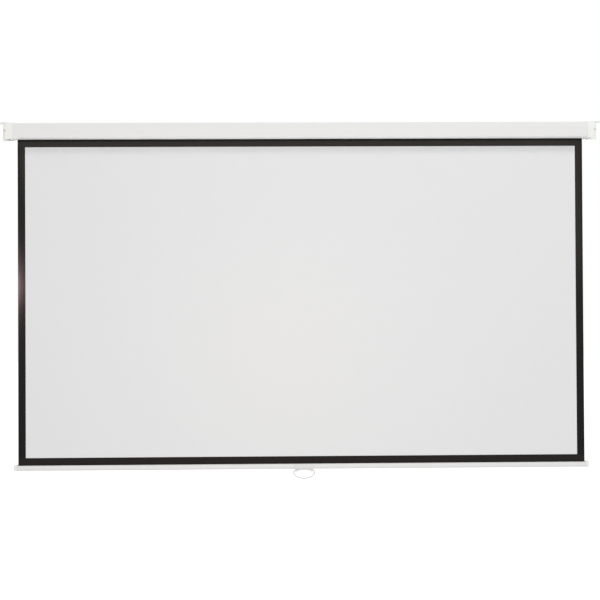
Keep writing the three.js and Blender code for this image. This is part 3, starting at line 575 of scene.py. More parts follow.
def applied(target, kind, **settings):
    """Add a modifier to an object and take its result as the object's new mesh."""
    modifier = target.modifiers.new(kind.lower(), kind)
    for name, value in settings.items():
        setattr(modifier, name, value)
    shaped = target.evaluated_get(bpy.context.evaluated_depsgraph_get())
    mesh = bpy.data.meshes.new_from_object(shaped)
    target.modifiers.clear()
    target.data = mesh
    return target


def worked(base, steps):
    """Join bodies to a base or cut them from it: steps is a list of ("UNION" or "DIFFERENCE", surface)."""
    result = new_object("work", base)
    for operation, surface in steps:
        tool = new_object("tool", surface)
        applied(result, "BOOLEAN", object=tool, operation=operation, solver="EXACT")
        bpy.data.objects.remove(tool)
    cleaned(result.data)
    return result


# %% [markdown]
# One function makes a finished piece of the frame: it gives the name and the finish, and ties the piece to
# its body. Edges sharper than an angle stay sharp, and weighted normals keep the flat faces beside a
# rounded edge flat.

# %% Finished pieces


def as_piece(piece, name, body, finish, replaced, sharp=32):
    """Name an object, give it its finish and smooth shading, tie it to its body and hide the CAD nodes that it
    replaces.
    """
    piece.name = name
    piece.data.name = name
    piece.data.materials.clear()
    piece.data.materials.append(finish)
    piece.data.polygons.foreach_set("use_smooth", np.ones(len(piece.data.polygons), bool))
    piece.data.set_sharp_from_angle(angle=math.radians(sharp))
    weighting = piece.modifiers.new("weighted normals", "WEIGHTED_NORMAL")
    weighting.keep_sharp = True
    weighting.weight = 100
    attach(piece, body)
    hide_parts(*replaced)
    print(f"{name}: {len(piece.data.polygons)} faces on {body}")
    return piece


# %% [markdown]
# A section is drawn as straight runs with rounded corners, the way a folding machine or a mould makes it.
# The same path moved outwards by a wall's thickness gives the other side of the wall.

# %% Sections
ARC_STEPS = 10
LEAST_RADIUS = 0.15


def rounded_path(corners, grow=0.0, closed=True):
    """Points (y, z) along straight runs joined by arcs: each arc's centre lies its radius inside both runs.

    Corners are rows of y, z and radius, walked with the inside on the left. Grow moves the whole path
    outwards. An open path starts and ends in points without an arc.
    """
    corners = np.asarray(corners, float)
    radius = np.maximum(corners[:, 2], LEAST_RADIUS - grow)[:, None]
    place = corners[:, :2]
    into = place - np.roll(place, 1, axis=0)
    into /= np.linalg.norm(into, axis=1, keepdims=True)
    away = np.roll(into, -1, axis=0)
    turn = np.arctan2(into[:, 0] * away[:, 1] - into[:, 1] * away[:, 0], (into * away).sum(axis=1))
    outward = np.stack([into[:, 1], -into[:, 0]], axis=1)
    centre = place - into * radius * np.tan(turn / 2)[:, None] - outward * radius
    first_angle = np.arctan2(outward[:, 1], outward[:, 0])[:, None]
    angle = first_angle + turn[:, None] * np.linspace(0, 1, ARC_STEPS + 1)
    rim = np.stack([np.cos(angle), np.sin(angle)], axis=-1)
    arcs = centre[:, None] + (radius + grow)[:, None] * rim
    if closed:
        return arcs.reshape(-1, 2)
    first = place[0] + np.array([away[0, 1], -away[0, 0]]) * grow
    last = place[-1] + outward[-1] * grow
    return np.concatenate([[first], arcs[1:-1].reshape(-1, 2), [last]])


def ring_at(x, section):
    """A (y, z) section placed in the plane at x."""
    return np.column_stack([np.full(len(section), x), section])


def section_sheet(corners, thickness, x0, x1):
    """A sheet folded along an open path and run from x0 to x1, its outer face on the path."""
    outer, inner = (rounded_path(corners, grow, closed=False) for grow in (0.0, -thickness))
    front, back = (np.stack([ring_at(x0, side), ring_at(x1, side)]) for side in (outer, inner))
    return thin_sheet(front, back)


# %% [markdown]
# The case is one sheet of steel folded to a five-sided box. Its upper front slopes back so that it catches
# the light. The fabric leaves through a slot near the wall, and both edges of the slot are folded up inside
# so that they can't cut it.

# %% Case
case_low, case_high = box_mm("case_shell")
CASE_SHEET = 1.0
CHAMFER_HEIGHT = 22.0
CHAMFER_DEPTH = 13.0
LOWER_FOLD = 3.0
CASE_FOLD = 2.5
SLOT_WIDTH = 9.0
SLOT_REAR_LAND = 5.0
LIP_HEIGHT = 4.0
LIP_FOLD = 1.6
case_outline = np.array([
    (case_low[1], case_low[2], LOWER_FOLD),
    (case_high[1], case_low[2], CASE_FOLD),
    (case_high[1], case_high[2], CASE_FOLD),
    (case_low[1] + CHAMFER_DEPTH, case_high[2], CASE_FOLD),
    (case_low[1], case_high[2] - CHAMFER_HEIGHT, CASE_FOLD),
])


def make_case():
    """The sheet's path goes down the slot's rear lip, round the case and up the slot's front lip."""
    slot_rear = case_high[1] - SLOT_REAR_LAND
    slot_front = slot_rear - SLOT_WIDTH
    foot = case_low[2]
    path = [
        (slot_rear, foot + LIP_HEIGHT, 0), (slot_rear, foot, LIP_FOLD), *case_outline[1:], case_outline[0],
        (slot_front, foot, LIP_FOLD), (slot_front, foot + LIP_HEIGHT, 0),
    ]
    case = new_object("case", section_sheet(path, CASE_SHEET, case_low[0], case_high[0]))
    return as_piece(case, "case_cover", "housing", powder_coat, ["case_shell"])


case_cover = make_case()

# %% [markdown]
# An end cap is an injection moulding. Its body is made here as one closed surface: the case's outline,
# carried along a path that runs up the inside of the cap, round its rim, along its outside and over the
# rounded edge to the flat side plate. A path that grows the outline gives walls of even thickness, which a
# mould needs.

# %% End cap body
cap_low, cap_high = box_mm("end_cap_right")
CAP_WIDTH = 33.0
CAP_ENGAGEMENT = 8.0
SEAT_GAP = 0.3
SIDE_PLATE = 3.0
EDGE_RADIUS = 6.0
MOULD_EDGE = 0.4
cap_grow = case_low[1] - cap_low[1]
cap_inner = cap_low[0]
cap_outer = cap_inner + CAP_WIDTH
cap_shoulder = cap_inner + CAP_ENGAGEMENT
cavity_end = cap_outer - SIDE_PLATE
floor_extra = case_low[2] - cap_low[2] - cap_grow
cap_outline = case_outline + [(0, -floor_extra, 0), (floor_extra, -floor_extra, 0), (floor_extra, 0, 0),
                              (0, 0, 0), (0, 0, 0)]


def quarter(steps=8):
    """Sine and one minus cosine of a quarter turn, for a rounded edge."""
    angle = np.linspace(0, math.pi / 2, steps + 1)
    return np.sin(angle), 1 - np.cos(angle)


def cap_body():
    """Outlines carried along pairs of x and growth: the case's inside the cap, the cap's own outside it."""
    rise, fall = quarter()
    edge = MOULD_EDGE
    inside = [(cavity_end, -CASE_SHEET - 2 * edge), (cavity_end - edge, -CASE_SHEET),
              (cap_shoulder, -CASE_SHEET), (cap_shoulder, SEAT_GAP), (cap_inner + edge, SEAT_GAP),
              (cap_inner, SEAT_GAP + edge)]
    outside = [(cap_inner, cap_grow - edge), (cap_inner + edge, cap_grow)]
    outside += list(zip(cap_outer - EDGE_RADIUS * (1 - rise), cap_grow - EDGE_RADIUS * fall))
    rings = [ring_at(x, rounded_path(case_outline, grow)) for x, grow in inside]
    rings += [ring_at(x, rounded_path(cap_outline, grow)) for x, grow in outside]
    return lofted(np.stack(rings))


print("cap grows", round(float(cap_grow), 2), "mm beyond the case and is", CAP_WIDTH, "mm wide")

# %% [markdown]
# What is joined to the body, and what is cut from it, are plain solids: prisms along X or Y, boxes, and
# profiles turned about a line. Each is a loft through two or more rings.

# %% Plain solids


def prism_x(section, x0, x1):
    """A body with a (y, z) section from x0 to x1."""
    return lofted(np.stack([ring_at(x, np.asarray(section, float)) for x in (x0, x1)]))


def prism_y(outline, y0, y1):
    """A body with an (x, z) outline from y0 to y1."""
    outline = np.asarray(outline, float)
    return lofted(np.stack([np.column_stack([outline[:, 0], np.full(len(outline), y), outline[:, 1]])
                            for y in (y0, y1)]))


def block(x0, x1, y0, y1, z0, z1):
    """A box between its limits."""
    return prism_x([(y0, z0), (y1, z0), (y1, z1), (y0, z1)], x0, x1)


def turned(profile, axis, centre, steps=48):
    """A body turned about a line: its profile is pairs of place on the axis and radius, centre the others."""
    profile = np.asarray(profile, float)
    angle = np.linspace(0, 2 * math.pi, steps, endpoint=False)
    along = np.repeat(profile[:, :1], steps, axis=1)
    around = profile[:, 1:]
    first, second = around * np.cos(angle) + centre[0], around * np.sin(angle) + centre[1]
    order = {"X": (along, first, second), "Y": (first, along, second), "Z": (first, second, along)}[axis]
    return lofted(np.stack(order, axis=-1))


def rod(axis, start, end, radius, centre, steps=48):
    """A turned body of one radius."""
    return turned([(start, radius), (end, radius)], axis, centre, steps)


def arc(centre, radius, start, end, steps=12):
    """Points on an arc, between two angles in degrees."""
    angle = np.radians(np.linspace(start, end, steps + 1))
    return np.column_stack([centre[0] + radius * np.cos(angle), centre[1] + radius * np.sin(angle)])


# %% [markdown]
# On top of each cap is an ear, by which the screen can be screwed under a ceiling. It is a thin tongue with
# round corners and softened edges. A small web with a concave curve stiffens the corner under it.

# %% Ear
EAR_RISE = 3.0
EAR_THICKNESS = 4.0
EAR_DEPTH = 30.0
EAR_INBOARD = 15.0
EAR_TIP_RADIUS = 10.0
EAR_EDGE = 0.8
WEB_HEIGHT = 7.0
WEB_REACH = 8.0
roller_y, roller_z = box_mm("roller_tube").mean(axis=0)[1:]
cap_top = cap_high[2] - EAR_RISE


def ear_plate():
    """The ear's plan, a tongue with two round corners, lofted up through its thickness with rounded edges."""
    tip = cap_high[0] - EAR_TIP_RADIUS
    rise, fall = quarter(4)
    levels = np.concatenate([EAR_EDGE * (1 - rise)[::-1], EAR_THICKNESS - EAR_EDGE * (1 - rise)])
    insets = np.concatenate([EAR_EDGE * fall[::-1], EAR_EDGE * fall])
    rings = []
    for level, inset in zip(levels, insets):
        reach = EAR_DEPTH / 2 - EAR_TIP_RADIUS
        radius = EAR_TIP_RADIUS - inset
        plan = np.concatenate([
            arc((tip, roller_y - reach), radius, -90, 0), arc((tip, roller_y + reach), radius, 0, 90),
            [(cap_outer - EAR_INBOARD + inset, roller_y + EAR_DEPTH / 2 - inset),
             (cap_outer - EAR_INBOARD + inset, roller_y - EAR_DEPTH / 2 + inset)],
        ])
        rings.append(np.column_stack([plan, np.full(len(plan), cap_high[2] - EAR_THICKNESS + level)]))
    return lofted(np.stack(rings))


def ear_web():
    """The corner under the ear, filled below a quadratic curve from the side plate to the ear."""
    t = np.linspace(0, 1, 13)[:, None]
    low, corner, out = (np.array(point) for point in [
        (cap_outer, cap_top - WEB_HEIGHT), (cap_outer, cap_top), (cap_outer + WEB_REACH, cap_top)])
    bend = (1 - t) ** 2 * low + 2 * t * (1 - t) * corner + t ** 2 * out
    inside = cap_outer - SIDE_PLATE
    outline = np.concatenate([[(inside, cap_top + SEAT_GAP), (inside, cap_top - WEB_HEIGHT)], bend,
                              [(cap_outer + WEB_REACH, cap_top + SEAT_GAP)]])
    half = EAR_DEPTH / 2 - EAR_TIP_RADIUS
    return prism_y(outline, roller_y - half, roller_y + half)


print("ear reaches", round(float(cap_high[0] - cap_outer), 1), "mm past its cap")

# %% [markdown]
# The openings say how the cap is used. A keyhole in its back hangs the screen on a wall. The right-hand cap
# holds the spring's shaft in a flat slot, and the left-hand one has a round seat for the idler's bush. A
# cutting tool runs a little past the surface that it cuts, because two faces in one plane confuse a
# boolean.

# %% Openings
OVERRUN = 1.0
KEYHOLE_HEAD = 5.0
KEYHOLE_SHANK = 2.8
KEYHOLE_DROP = 7.0
KEYHOLE_INSET = 12.0
TANG_HALF_DEPTH = 2.5
TANG_HALF_HEIGHT = 4.0
BUSH_SEAT = 7.3


def keyhole():
    """The round way in for a screw's head, with a slot of round end above it for the shank."""
    x = cap_outer - KEYHOLE_INSET
    side = math.degrees(math.asin(KEYHOLE_SHANK / KEYHOLE_HEAD))
    outline = np.concatenate([arc((x, -KEYHOLE_DROP), KEYHOLE_HEAD, 90 + side, 450 - side, 40),
                              arc((x, 0), KEYHOLE_SHANK, 0, 180, 16)])
    return prism_y(outline, case_high[1] - CASE_SHEET - OVERRUN, OVERRUN)


def tang_socket(start):
    """The flat slot that keeps the spring's shaft from turning."""
    return block(start - OVERRUN, cavity_end, roller_y - TANG_HALF_DEPTH, roller_y + TANG_HALF_DEPTH,
                 roller_z - TANG_HALF_HEIGHT, roller_z + TANG_HALF_HEIGHT)


def bush_socket(start):
    """The round seat of the idler's bush."""
    return rod("X", start - OVERRUN, cavity_end, BUSH_SEAT, (roller_y, roller_z))


print("keyhole takes a screw's head of", 2 * KEYHOLE_HEAD, "mm and a shank of", 2 * KEYHOLE_SHANK, "mm")

# %% [markdown]
# Both caps come from one recipe, and the left-hand one is then mirrored. The ear, the flat foot on the wall
# and the roller's boss with its ribs are joined first. The holes for the ear's screw and the case's screws,
# the keyhole, the socket, the window in the floor and the pinhole beside the front edge are cut after that.

# %% End caps
BOSS_RADIUS = 11.5
BOSS_SETBACK = 6.0
RIB_HALF = 1.0
FOOT_REACH = 20.0
FOOT_THICKNESS = 3.0
EAR_HOLE_RADIUS = 3.6
CAP_SCREW_HOLE = 2.05
WINDOW_FRONT = 14.0
SHORT_WINDOW = 9.0
PINHOLE_RADIUS = 3.0
PINHOLE_DEPTH = 5.0
PINHOLE_INSET = 4.0
PINHOLE_DROP = 2.0
window_start = cap_shoulder + OVERRUN


def make_cap(socket, window_end):
    """The closed body, with boss, ribs, ear, web and foot joined to it, and then every hole cut."""
    boss_start = cap_shoulder + BOSS_SETBACK
    rib_start = boss_start + OVERRUN
    into = cavity_end + SIDE_PLATE / 3
    hole_x = cap_outer + (cap_high[0] - cap_outer) / 2
    screw_x = cap_inner + CAP_ENGAGEMENT / 2
    ear_hole = [(cap_high[2] - EAR_THICKNESS - WEB_HEIGHT, EAR_HOLE_RADIUS),
                (cap_high[2] - EAR_EDGE, EAR_HOLE_RADIUS),
                (cap_high[2] + EAR_EDGE, EAR_HOLE_RADIUS + 2 * EAR_EDGE)]
    return worked(cap_body(), [
        ("UNION", rod("X", boss_start, into, BOSS_RADIUS, (roller_y, roller_z))),
        ("UNION", block(rib_start, into, roller_y - RIB_HALF, roller_y + RIB_HALF,
                        case_low[2], case_high[2])),
        ("UNION", block(rib_start, into, case_low[1], case_high[1],
                        roller_z - RIB_HALF, roller_z + RIB_HALF)),
        ("UNION", ear_plate()),
        ("UNION", ear_web()),
        ("UNION", block(cavity_end, cap_outer + FOOT_REACH, -FOOT_THICKNESS, cap_high[1],
                        cap_low[2], cap_top)),
        ("DIFFERENCE", turned(ear_hole, "Z", (hole_x, roller_y))),
        ("DIFFERENCE", keyhole()),
        ("DIFFERENCE", socket(boss_start)),
        ("DIFFERENCE", block(window_start, window_end, case_low[1] + WINDOW_FRONT, case_high[1],
                             cap_low[2] - OVERRUN, case_low[2] + CASE_SHEET + OVERRUN)),
        ("DIFFERENCE", rod("Y", cap_low[1] - OVERRUN, cap_low[1] + PINHOLE_DEPTH, PINHOLE_RADIUS,
                           (cap_outer - PINHOLE_INSET, roller_z - PINHOLE_DROP), 32)),
        ("DIFFERENCE", rod("Z", cap_low[2] - OVERRUN, cap_high[2] + OVERRUN, CAP_SCREW_HOLE,
                           (screw_x, roller_y), 24)),
    ])


def mirrored(piece):
    """Turn a right-hand piece into a left-hand one: flip X, then turn its faces outwards again."""
    points = np.empty(len(piece.data.vertices) * 3)
    piece.data.vertices.foreach_get("co", points)
    points[::3] *= -1
    piece.data.vertices.foreach_set("co", points)
    cleaned(piece.data)
    return piece


cap_right = as_piece(make_cap(tang_socket, window_start + SHORT_WINDOW), "cap_moulding_right", "housing",
                     moulded_white, ["end_cap_right"])
cap_left = as_piece(mirrored(make_cap(bush_socket, cavity_end)), "cap_moulding_left", "housing",
                    moulded_white, ["end_cap_left"])


# %% [markdown]
# The case's underside faces the floor, away from every panel, and would be a grey line under a white case.
# A photographer fills such a place with a low strip, and flags it so that it lights nothing else. In
# Blender the flag is light linking: the lamp reaches only the pieces of one collection.

# %% Fill under the case
LOW_STRIP = {"place": (0, -46, -500), "size": (2500, 60), "power": 2.6, "target": (0, -45, 0)}
low_strip = add_area_light("strip_low", **LOW_STRIP)
low_strip.visible_glossy = False
filled = bpy.data.collections.new("pieces that the low strip fills")
for piece in (case_cover, cap_right, cap_left):
    filled.objects.link(piece)
low_strip.light_linking.receiver_collection = filled

# %% [markdown]
# Each cap is pinned to the case by two pan head screws, and a fifth holds the loop's clip on the weight
# bar. A pan head is a short turned profile, and its cross recess is cut by two crossed wedges.

# %% Screws
SHANK_SHARE = 0.5
SHANKS_LONG = 5
SHANKS_HIGH = 1.2
SCREW_POINT = 0.02
HEAD_RIM = 0.45
HEAD_DRAW = 0.9
HEAD_TOP = 0.05
CROSS_REACH = 0.55
CROSS_WIDTH = 0.13


def make_screw(node, points_up):
    """A pan head screw in the place of its node: the head is at the low end when it points up.

    The head is a straight rim with a quarter of an oval on it: height grows as sine, radius shrinks by one
    minus cosine. Reach and depth of the cross are one share of the head's radius and height.
    """
    low, high = box_mm(node)
    x, y = (low[:2] + high[:2]) / 2
    head = (high[0] - low[0]) / 2
    shank = head * SHANK_SHARE
    length, height = SHANKS_LONG * shank, SHANKS_HIGH * shank
    seat, out = (low[2] + height, -1) if points_up else (high[2] - height, 1)
    rise, fall = quarter(6)
    dome_z = seat + out * height * (HEAD_RIM + (1 - HEAD_RIM) * rise)
    dome_radius = np.maximum(head * (1 - HEAD_DRAW * fall), HEAD_TOP)
    profile = [(seat - out * length, SCREW_POINT), (seat - out * (length - shank), shank), (seat, shank),
               (seat, head), *zip(dome_z, dome_radius)]
    face = seat + out * height
    deep, shallow = sorted((face - out * height * CROSS_REACH, face + out))
    arm, wing = head * CROSS_REACH, head * CROSS_WIDTH
    crosses = [("DIFFERENCE", block(x - a, x + a, y - b, y + b, deep, shallow))
               for a, b in ((arm, wing), (wing, arm))]
    screw = worked(turned(profile, "Z", (x, y), 40), crosses)
    return as_piece(screw, node + "_pan_head", frame["nodes"][node]["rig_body"], zinc_plate, [node])


for side in ("left", "right"):
    make_screw(f"cap_screw_{side}_top", False)
    make_screw(f"cap_screw_{side}_bottom", True)
make_screw("saddle_screw", True)

# %% [markdown]
# The hanging screen is a laminate: a black border film in front, the white fabric, and a black backing that
# keeps light from behind out. It hangs straight, but no sheet of coated cloth this size is perfectly flat.
# It bows back by a millimetre or two in slow upright waves, and its cut edges curl back slightly, which is
# where the border catches a side lamp. All three layers follow one formula, so they never cut through each
# other.

# %% Shape of the hanging cloth
fabric_high = box_mm("viewing_fabric")[1]
hem_high = box_mm("hem_strip")[1]
WAVE_DEPTH = 0.9
WAVE_LENGTHS = (830.0, 340.0)
WAVE_PHASES = (0.6, 2.0)
SHORT_WAVE_SHARE = 0.6
EDGE_CURL = 1.1
EDGE_CURL_REACH = 9.0
hang_top, hang_foot = fabric_high[2], hem_high[2]
half_width = fabric_high[0]


def bow(x, z):
    """How far the cloth stands back from flat: two slow waves across it and a curl at both cut edges.

    Both fade to nothing at the case and at the bar, as the sine of the share of the way down. The waves only
    stand back, never forward, which is away from the roller.
    """
    share = np.clip((hang_top - z) / (hang_top - hang_foot), 0, 1)
    long_wave, short_wave = (np.sin(2 * math.pi * x / length + phase)
                             for length, phase in zip(WAVE_LENGTHS, WAVE_PHASES))
    waves = (long_wave + SHORT_WAVE_SHARE * short_wave) / (1 + SHORT_WAVE_SHARE)
    curl = np.exp((np.abs(x) - half_width) / EDGE_CURL_REACH)
    return np.sin(math.pi * share) * (WAVE_DEPTH * (1 + waves) + EDGE_CURL * curl)


print("cloth hangs from", round(float(hang_top), 1), "to", round(float(hang_foot), 1), "mm")

# %% [markdown]
# The layers are thin sheets on one grid, whose lines lie close together at the curled edges and run along
# the border's inner edge, so that the border film is the same grid without its middle.

# %% Layers of the screen
BORDER_WIDTH = 30.0
EDGE_STEPS = (0, 1.5, 1.5, 2, 2, 3, 4, 5, 11)
CLOTH_COLUMNS = 110
CLOTH_ROWS = 62
window_half = half_width - BORDER_WIDTH
window_top = case_low[2] - BORDER_WIDTH


def cloth_lines():
    """Grid lines across and down: close together at the curled edges, and one on each border line."""
    near = np.cumsum(EDGE_STEPS)
    across = np.linspace(-window_half, window_half, CLOTH_COLUMNS + 1)
    across = np.concatenate([near - half_width, across[1:-1], (half_width - near)[::-1]])
    down = np.concatenate([[hang_top, case_low[2]], np.linspace(window_top, hang_foot, CLOTH_ROWS + 1)])
    return np.unique(across.round(4)), down


def hang_layer(name, node, finish, window=False):
    """One layer: a grid in the front face of its node, bowed, and the same grid a thickness behind it."""
    low, high = box_mm(node)
    across, down = cloth_lines()
    x, z = np.meshgrid(across, down)
    front = np.stack([x, low[1] + bow(x, z), z], axis=-1)
    back = front + [0, high[1] - low[1], 0]
    middle_x = np.abs(across[1:] + across[:-1]) / 2
    middle_z = (down[1:] + down[:-1]) / 2
    kept = np.ones((len(down) - 1, len(across) - 1), bool)
    if window:
        kept = (middle_x[None, :] > window_half) | (middle_z[:, None] > window_top)
    layer = new_object(name, thin_sheet(front, back, kept))
    return as_piece(layer, name, "housing", finish, [node])


screen_cloth = hang_layer("screen_cloth", "viewing_fabric", matt_screen)
border_film = hang_layer("border_film", "mask_border", border_vinyl, window=True)
backing_film = hang_layer("backing_film", "fabric_backing", backing_cloth)

# %% [markdown]
# When the bar rises, the cloth winds on to the roller, whose turns of fabric are a piece of their own. Here
# each layer of the cloth only gets a mesh of its own, which no other object shares.

# %% Own meshes of the cloth layers
for layer in (screen_cloth, border_film, backing_film):
    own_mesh(layer)

# %% [markdown]
# The weight bar is a drawn oval tube with a slot along its top. Like the case, it is a sheet along an open
# path, whose two ends are the lips of the slot.

# %% Weight bar
bar_low, bar_high = box_mm("bar_tube")
BAR_WALL = 1.2
BAR_CORNER = 7.5
BAR_SLOT = 3.0
bar_middle = (bar_low[1] + bar_high[1]) / 2
bar_outline = np.array([
    (bar_low[1], bar_low[2], BAR_CORNER), (bar_high[1], bar_low[2], BAR_CORNER),
    (bar_high[1], bar_high[2], BAR_CORNER), (bar_low[1], bar_high[2], BAR_CORNER),
])


def make_bar():
    """The wall's path runs from one lip of the slot round the whole bar to the other."""
    half = BAR_SLOT / 2
    path = [(bar_middle - half, bar_high[2], 0), bar_outline[3], *bar_outline[:3],
            (bar_middle + half, bar_high[2], 0)]
    bar = new_object("bar", section_sheet(path, BAR_WALL, bar_low[0], bar_high[0]))
    return as_piece(bar, "bar_extrusion", "bar", bar_coat, ["bar_tube"])


make_bar()

# %% [markdown]
# The hem of the fabric is a pocket welded round a rod that can't leave through the slot. The hem belongs to
# the bar, so it doesn't shorten when the bar rises. With the hem in place the hanging laminate is complete.

# %% Hem
rod_low, rod_high = box_mm("hem_rod")
HEM_LEAD = 1.2

def make_hem():
    """A ribbon that runs straight down, then once round the rod's middle and up behind itself."""
    laminate = box_mm("fabric_backing")[1][1] - box_mm("mask_border")[0][1]
    rod_z = (rod_low[2] + rod_high[2]) / 2
    radius = (rod_high[2] - rod_low[2]) / 2 + SEAT_GAP + laminate / 2
    start = math.asin(laminate / radius)
    around = np.linspace(math.pi / 2 + start, 2.5 * math.pi - start, 41)
    circle = np.column_stack([bar_middle + radius * np.cos(around), rod_z + radius * np.sin(around)])
    straight = np.column_stack([np.full(8, bar_middle), np.linspace(hem_high[2], circle[0, 1] + HEM_LEAD, 8)])
    line = np.concatenate([straight, circle])
    run = np.gradient(line, axis=0)
    run /= np.linalg.norm(run, axis=1, keepdims=True)
    side = np.column_stack([run[:, 1], -run[:, 0]]) * laminate / 2
    front, back = (np.stack([ring_at(x, line + sign * side) for x in (-half_width, half_width)])
                   for sign in (1, -1))
    hem = new_object("hem", thin_sheet(front, back))
    return as_piece(hem, "hem_pocket", "bar", hem_vinyl, ["hem_strip"])


hem_pocket = make_hem()


# %% [markdown]
# The bar's end caps are moulded a little taller than the bar, with fully rounded outer ends, so that they
# meet the case's caps first when the screen is rolled up. A plug on each fills the tube's end below the
# hem.

# %% Bar end caps
bar_cap_high = box_mm("bar_cap_right")[1]
BAR_CAP_GROW = 0.8
BAR_CAP_WIDTH = 14.0
BAR_CAP_ROUND = 7.0
BAR_PLUG_LENGTH = 14.0
BAR_PLUG_ROOT = 2.0
HEM_ROOM = 1.4


def make_bar_cap():
    """The bar's outline, drawn up at the top, carried outwards and drawn in along a quarter circle."""
    outline = bar_outline.copy()
    outline[2:, 1] = bar_cap_high[2] - BAR_CAP_GROW
    rise, fall = quarter(12)
    start, end = bar_cap_high[0] - BAR_CAP_WIDTH, bar_cap_high[0]
    path = [(start, BAR_CAP_GROW - MOULD_EDGE), (start + MOULD_EDGE, BAR_CAP_GROW)]
    path += list(zip(end - BAR_CAP_ROUND * (1 - rise), BAR_CAP_GROW - BAR_CAP_ROUND * fall))
    head = lofted(np.stack([ring_at(x, rounded_path(outline, grow)) for x, grow in path]))
    plug_start = bar_high[0] - BAR_PLUG_LENGTH
    plug = prism_x(rounded_path(bar_outline, -BAR_WALL - SEAT_GAP), plug_start, start + BAR_PLUG_ROOT)
    hem_room = block(plug_start - OVERRUN, start, bar_low[1], bar_high[1], rod_low[2] - HEM_ROOM, bar_high[2])
    plug_piece = worked(plug, [("DIFFERENCE", hem_room)])
    head_piece = new_object("head", head)
    applied(head_piece, "BOOLEAN", object=plug_piece, operation="UNION", solver="EXACT")
    bpy.data.objects.remove(plug_piece)
    cleaned(head_piece.data)
    return head_piece


as_piece(make_bar_cap(), "bar_end_right", "bar", moulded_white, ["bar_cap_right"])
as_piece(mirrored(make_bar_cap()), "bar_end_left", "bar", moulded_white, ["bar_cap_left"])

# %% [markdown]
# The pull loop hangs from a clip that is pushed up round the bar. The clip's lower edge is arched between
# two lugs, so that fingers can reach through.

# %% Clip
saddle_low, saddle_high = box_mm("handle_saddle")
loop_low, loop_high = box_mm("pull_loop")
CLIP_WALL = 2.0
CLIP_RIM_DROP = 3.0
LUG_WIDTH = 7.0
LUG_DEPTH = 8.0
CLIP_ARCH = 3.0
CLIP_CORNER = 3.0
LOOP_RADIUS = 2.2
PIVOT_DEPTH = 5.8
CLIP_SCREW_HOLE = 1.7
saddle_middle = (saddle_low[0] + saddle_high[0]) / 2
saddle_half = (saddle_high[0] - saddle_low[0]) / 2
pivot_z = loop_high[2] - LOOP_RADIUS


def bezier(points, steps):
    """A curve drawn towards its middle points: quadratic for three points, cubic for four."""
    points = np.asarray(points, float)
    t = np.linspace(0, 1, steps + 1)[:, None]
    degree = len(points) - 1
    return sum(math.comb(degree, k) * (1 - t) ** (degree - k) * t ** k * points[k] for k in range(degree + 1))


def clip_web():
    """The web's outline in the plane of the bar: two lugs with round corners, joined by two arched curves."""
    foot, arch = saddle_low[2], bar_low[2] - CLIP_ARCH
    half, root = saddle_half, bar_low[2] + BAR_WALL
    right = np.concatenate([
        bezier([(0, arch), (half / 2, arch), (half - LUG_WIDTH, foot)], 14),
        bezier([(half - CLIP_CORNER, foot), (half, foot), (half, foot + CLIP_CORNER)], 8),
        [(half, root)],
    ])
    left = right[:0:-1] * [-1, 1]
    outline = np.concatenate([right, left]) + [saddle_middle, 0]
    return prism_y(outline, bar_middle - LUG_DEPTH / 2, bar_middle + LUG_DEPTH / 2)


def make_clip():
    """A shell round the bar with the web joined to it, open at the top, cut for bar, pivots and screw."""
    x0, x1 = saddle_low[0] - OVERRUN, saddle_high[0] + OVERRUN
    shell = prism_x(rounded_path(bar_outline, CLIP_WALL + SEAT_GAP), saddle_low[0], saddle_high[0])
    room = prism_x(rounded_path(bar_outline, SEAT_GAP), x0, x1)
    open_top = block(x0, x1, saddle_low[1] - OVERRUN, saddle_high[1] + OVERRUN, bar_high[2] - CLIP_RIM_DROP,
                     bar_high[2] + OVERRUN + CLIP_WALL)
    pivots = [rod("X", start, end, LOOP_RADIUS + SEAT_GAP, (bar_middle, pivot_z))
              for start, end in ((x0, saddle_low[0] + PIVOT_DEPTH), (saddle_high[0] - PIVOT_DEPTH, x1))]
    screw = rod("Z", saddle_low[2] - OVERRUN, bar_low[2] + OVERRUN, CLIP_SCREW_HOLE,
                (saddle_middle, bar_middle), 24)
    cuts = [("DIFFERENCE", surface) for surface in (room, open_top, *pivots, screw)]
    clip = worked(shell, [("UNION", clip_web()), *cuts])
    return as_piece(clip, "saddle_clip", "bar", clip_grey_and_painted_shade, ["handle_saddle"])


make_clip()

# %% [markdown]
# The loop is one thin rod: its ends turn inwards through the lugs, two short shoulders lead down, and the
# rest is half an oval.

# %% Pull loop
LOOP_SHOULDER = 7.0
LOOP_PIN = 5.5


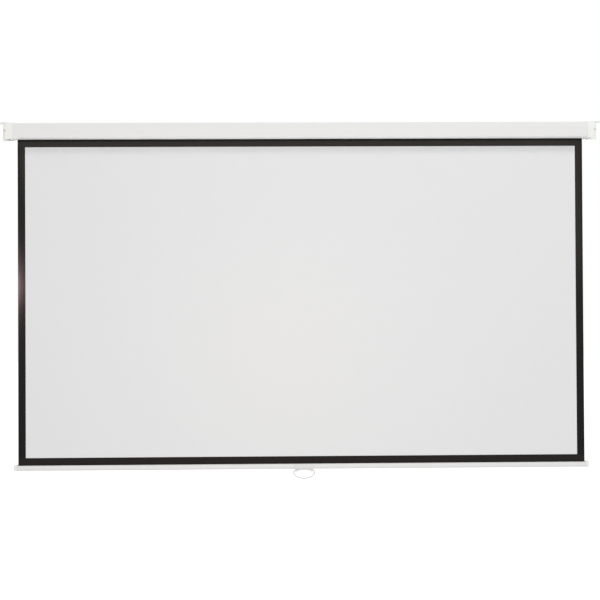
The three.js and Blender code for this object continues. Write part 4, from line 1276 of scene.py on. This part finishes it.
def tube(line, radius, sides=20):
    """A round tube along points in the plane of the bar: the section turns with the line's direction."""
    run = np.gradient(line, axis=0)
    run /= np.linalg.norm(run, axis=1, keepdims=True)
    side = np.column_stack([-run[:, 1], run[:, 0]])
    angle = np.linspace(0, 2 * math.pi, sides, endpoint=False)
    across = side[:, None] * (np.cos(angle) * radius)[None, :, None]
    rings = np.empty((len(line), sides, 3))
    rings[..., 0], rings[..., 2] = (line[:, None] + across)[..., 0], (line[:, None] + across)[..., 1]
    rings[..., 1] = bar_middle + radius * np.sin(angle)
    return lofted(rings)


def make_loop():
    """Half of the loop runs from the lug round the shoulder and down the oval, and the other mirrors it."""
    half_loop = (loop_high[0] - loop_low[0]) / 2 - LOOP_RADIUS
    shoulder = pivot_z - LOOP_SHOULDER
    drop = shoulder - (loop_low[2] + LOOP_RADIUS)
    angle = np.linspace(0, math.pi / 2, 31)
    oval = np.column_stack([half_loop * np.cos(angle), shoulder - drop * np.sin(angle)])
    bend = bezier([(saddle_half + SEAT_GAP, pivot_z), (half_loop, pivot_z), (half_loop, shoulder)], 10)
    pin = np.column_stack([np.linspace(saddle_half - LOOP_PIN, saddle_half, 4), np.full(4, pivot_z)])
    half_line = np.concatenate([pin, bend, oval[1:]])
    line = np.concatenate([half_line, half_line[-2::-1] * [-1, 1]]) + [saddle_middle, 0]
    loop = new_object("loop", tube(line, LOOP_RADIUS))
    return as_piece(loop, "loop_rod", "handle", loop_grey_and_painted_shade, ["pull_loop"], sharp=60)


make_loop()

# %% [markdown]
# The works inside the case stay as the frame has them, because their shapes are already true. They only get
# their finishes: galvanised tube, zinc plated shaft and ratchet, dark spring wire and natural nylon plugs.
# They are seen when the screen is looked at from an end or taken apart.

# %% Works inside the case
INNER_FINISHES = {
    "roller_tube": roller_steel, "fabric_wrap": backing_cloth, "fabric_spline": nylon, "idler_plug": nylon,
    "idler_pin": zinc_plate, "idler_bush": nylon, "bearing_plug": nylon, "spring_shaft": zinc_plate,
    "spring_collar": zinc_plate, "torsion_spring": spring_wire, "spring_hub": nylon,
    "ratchet_wheel": zinc_plate, "pawl_upper": zinc_plate, "pawl_lower": zinc_plate,
    "pawl_pin_upper": zinc_plate, "pawl_pin_lower": zinc_plate, "hem_rod": roller_steel,
}
for node_name, finish in INNER_FINISHES.items():
    slots = frame["nodes"][node_name].data.materials
    slots.clear()
    slots.append(finish)
print("inner pieces with a finish:", len(INNER_FINISHES))
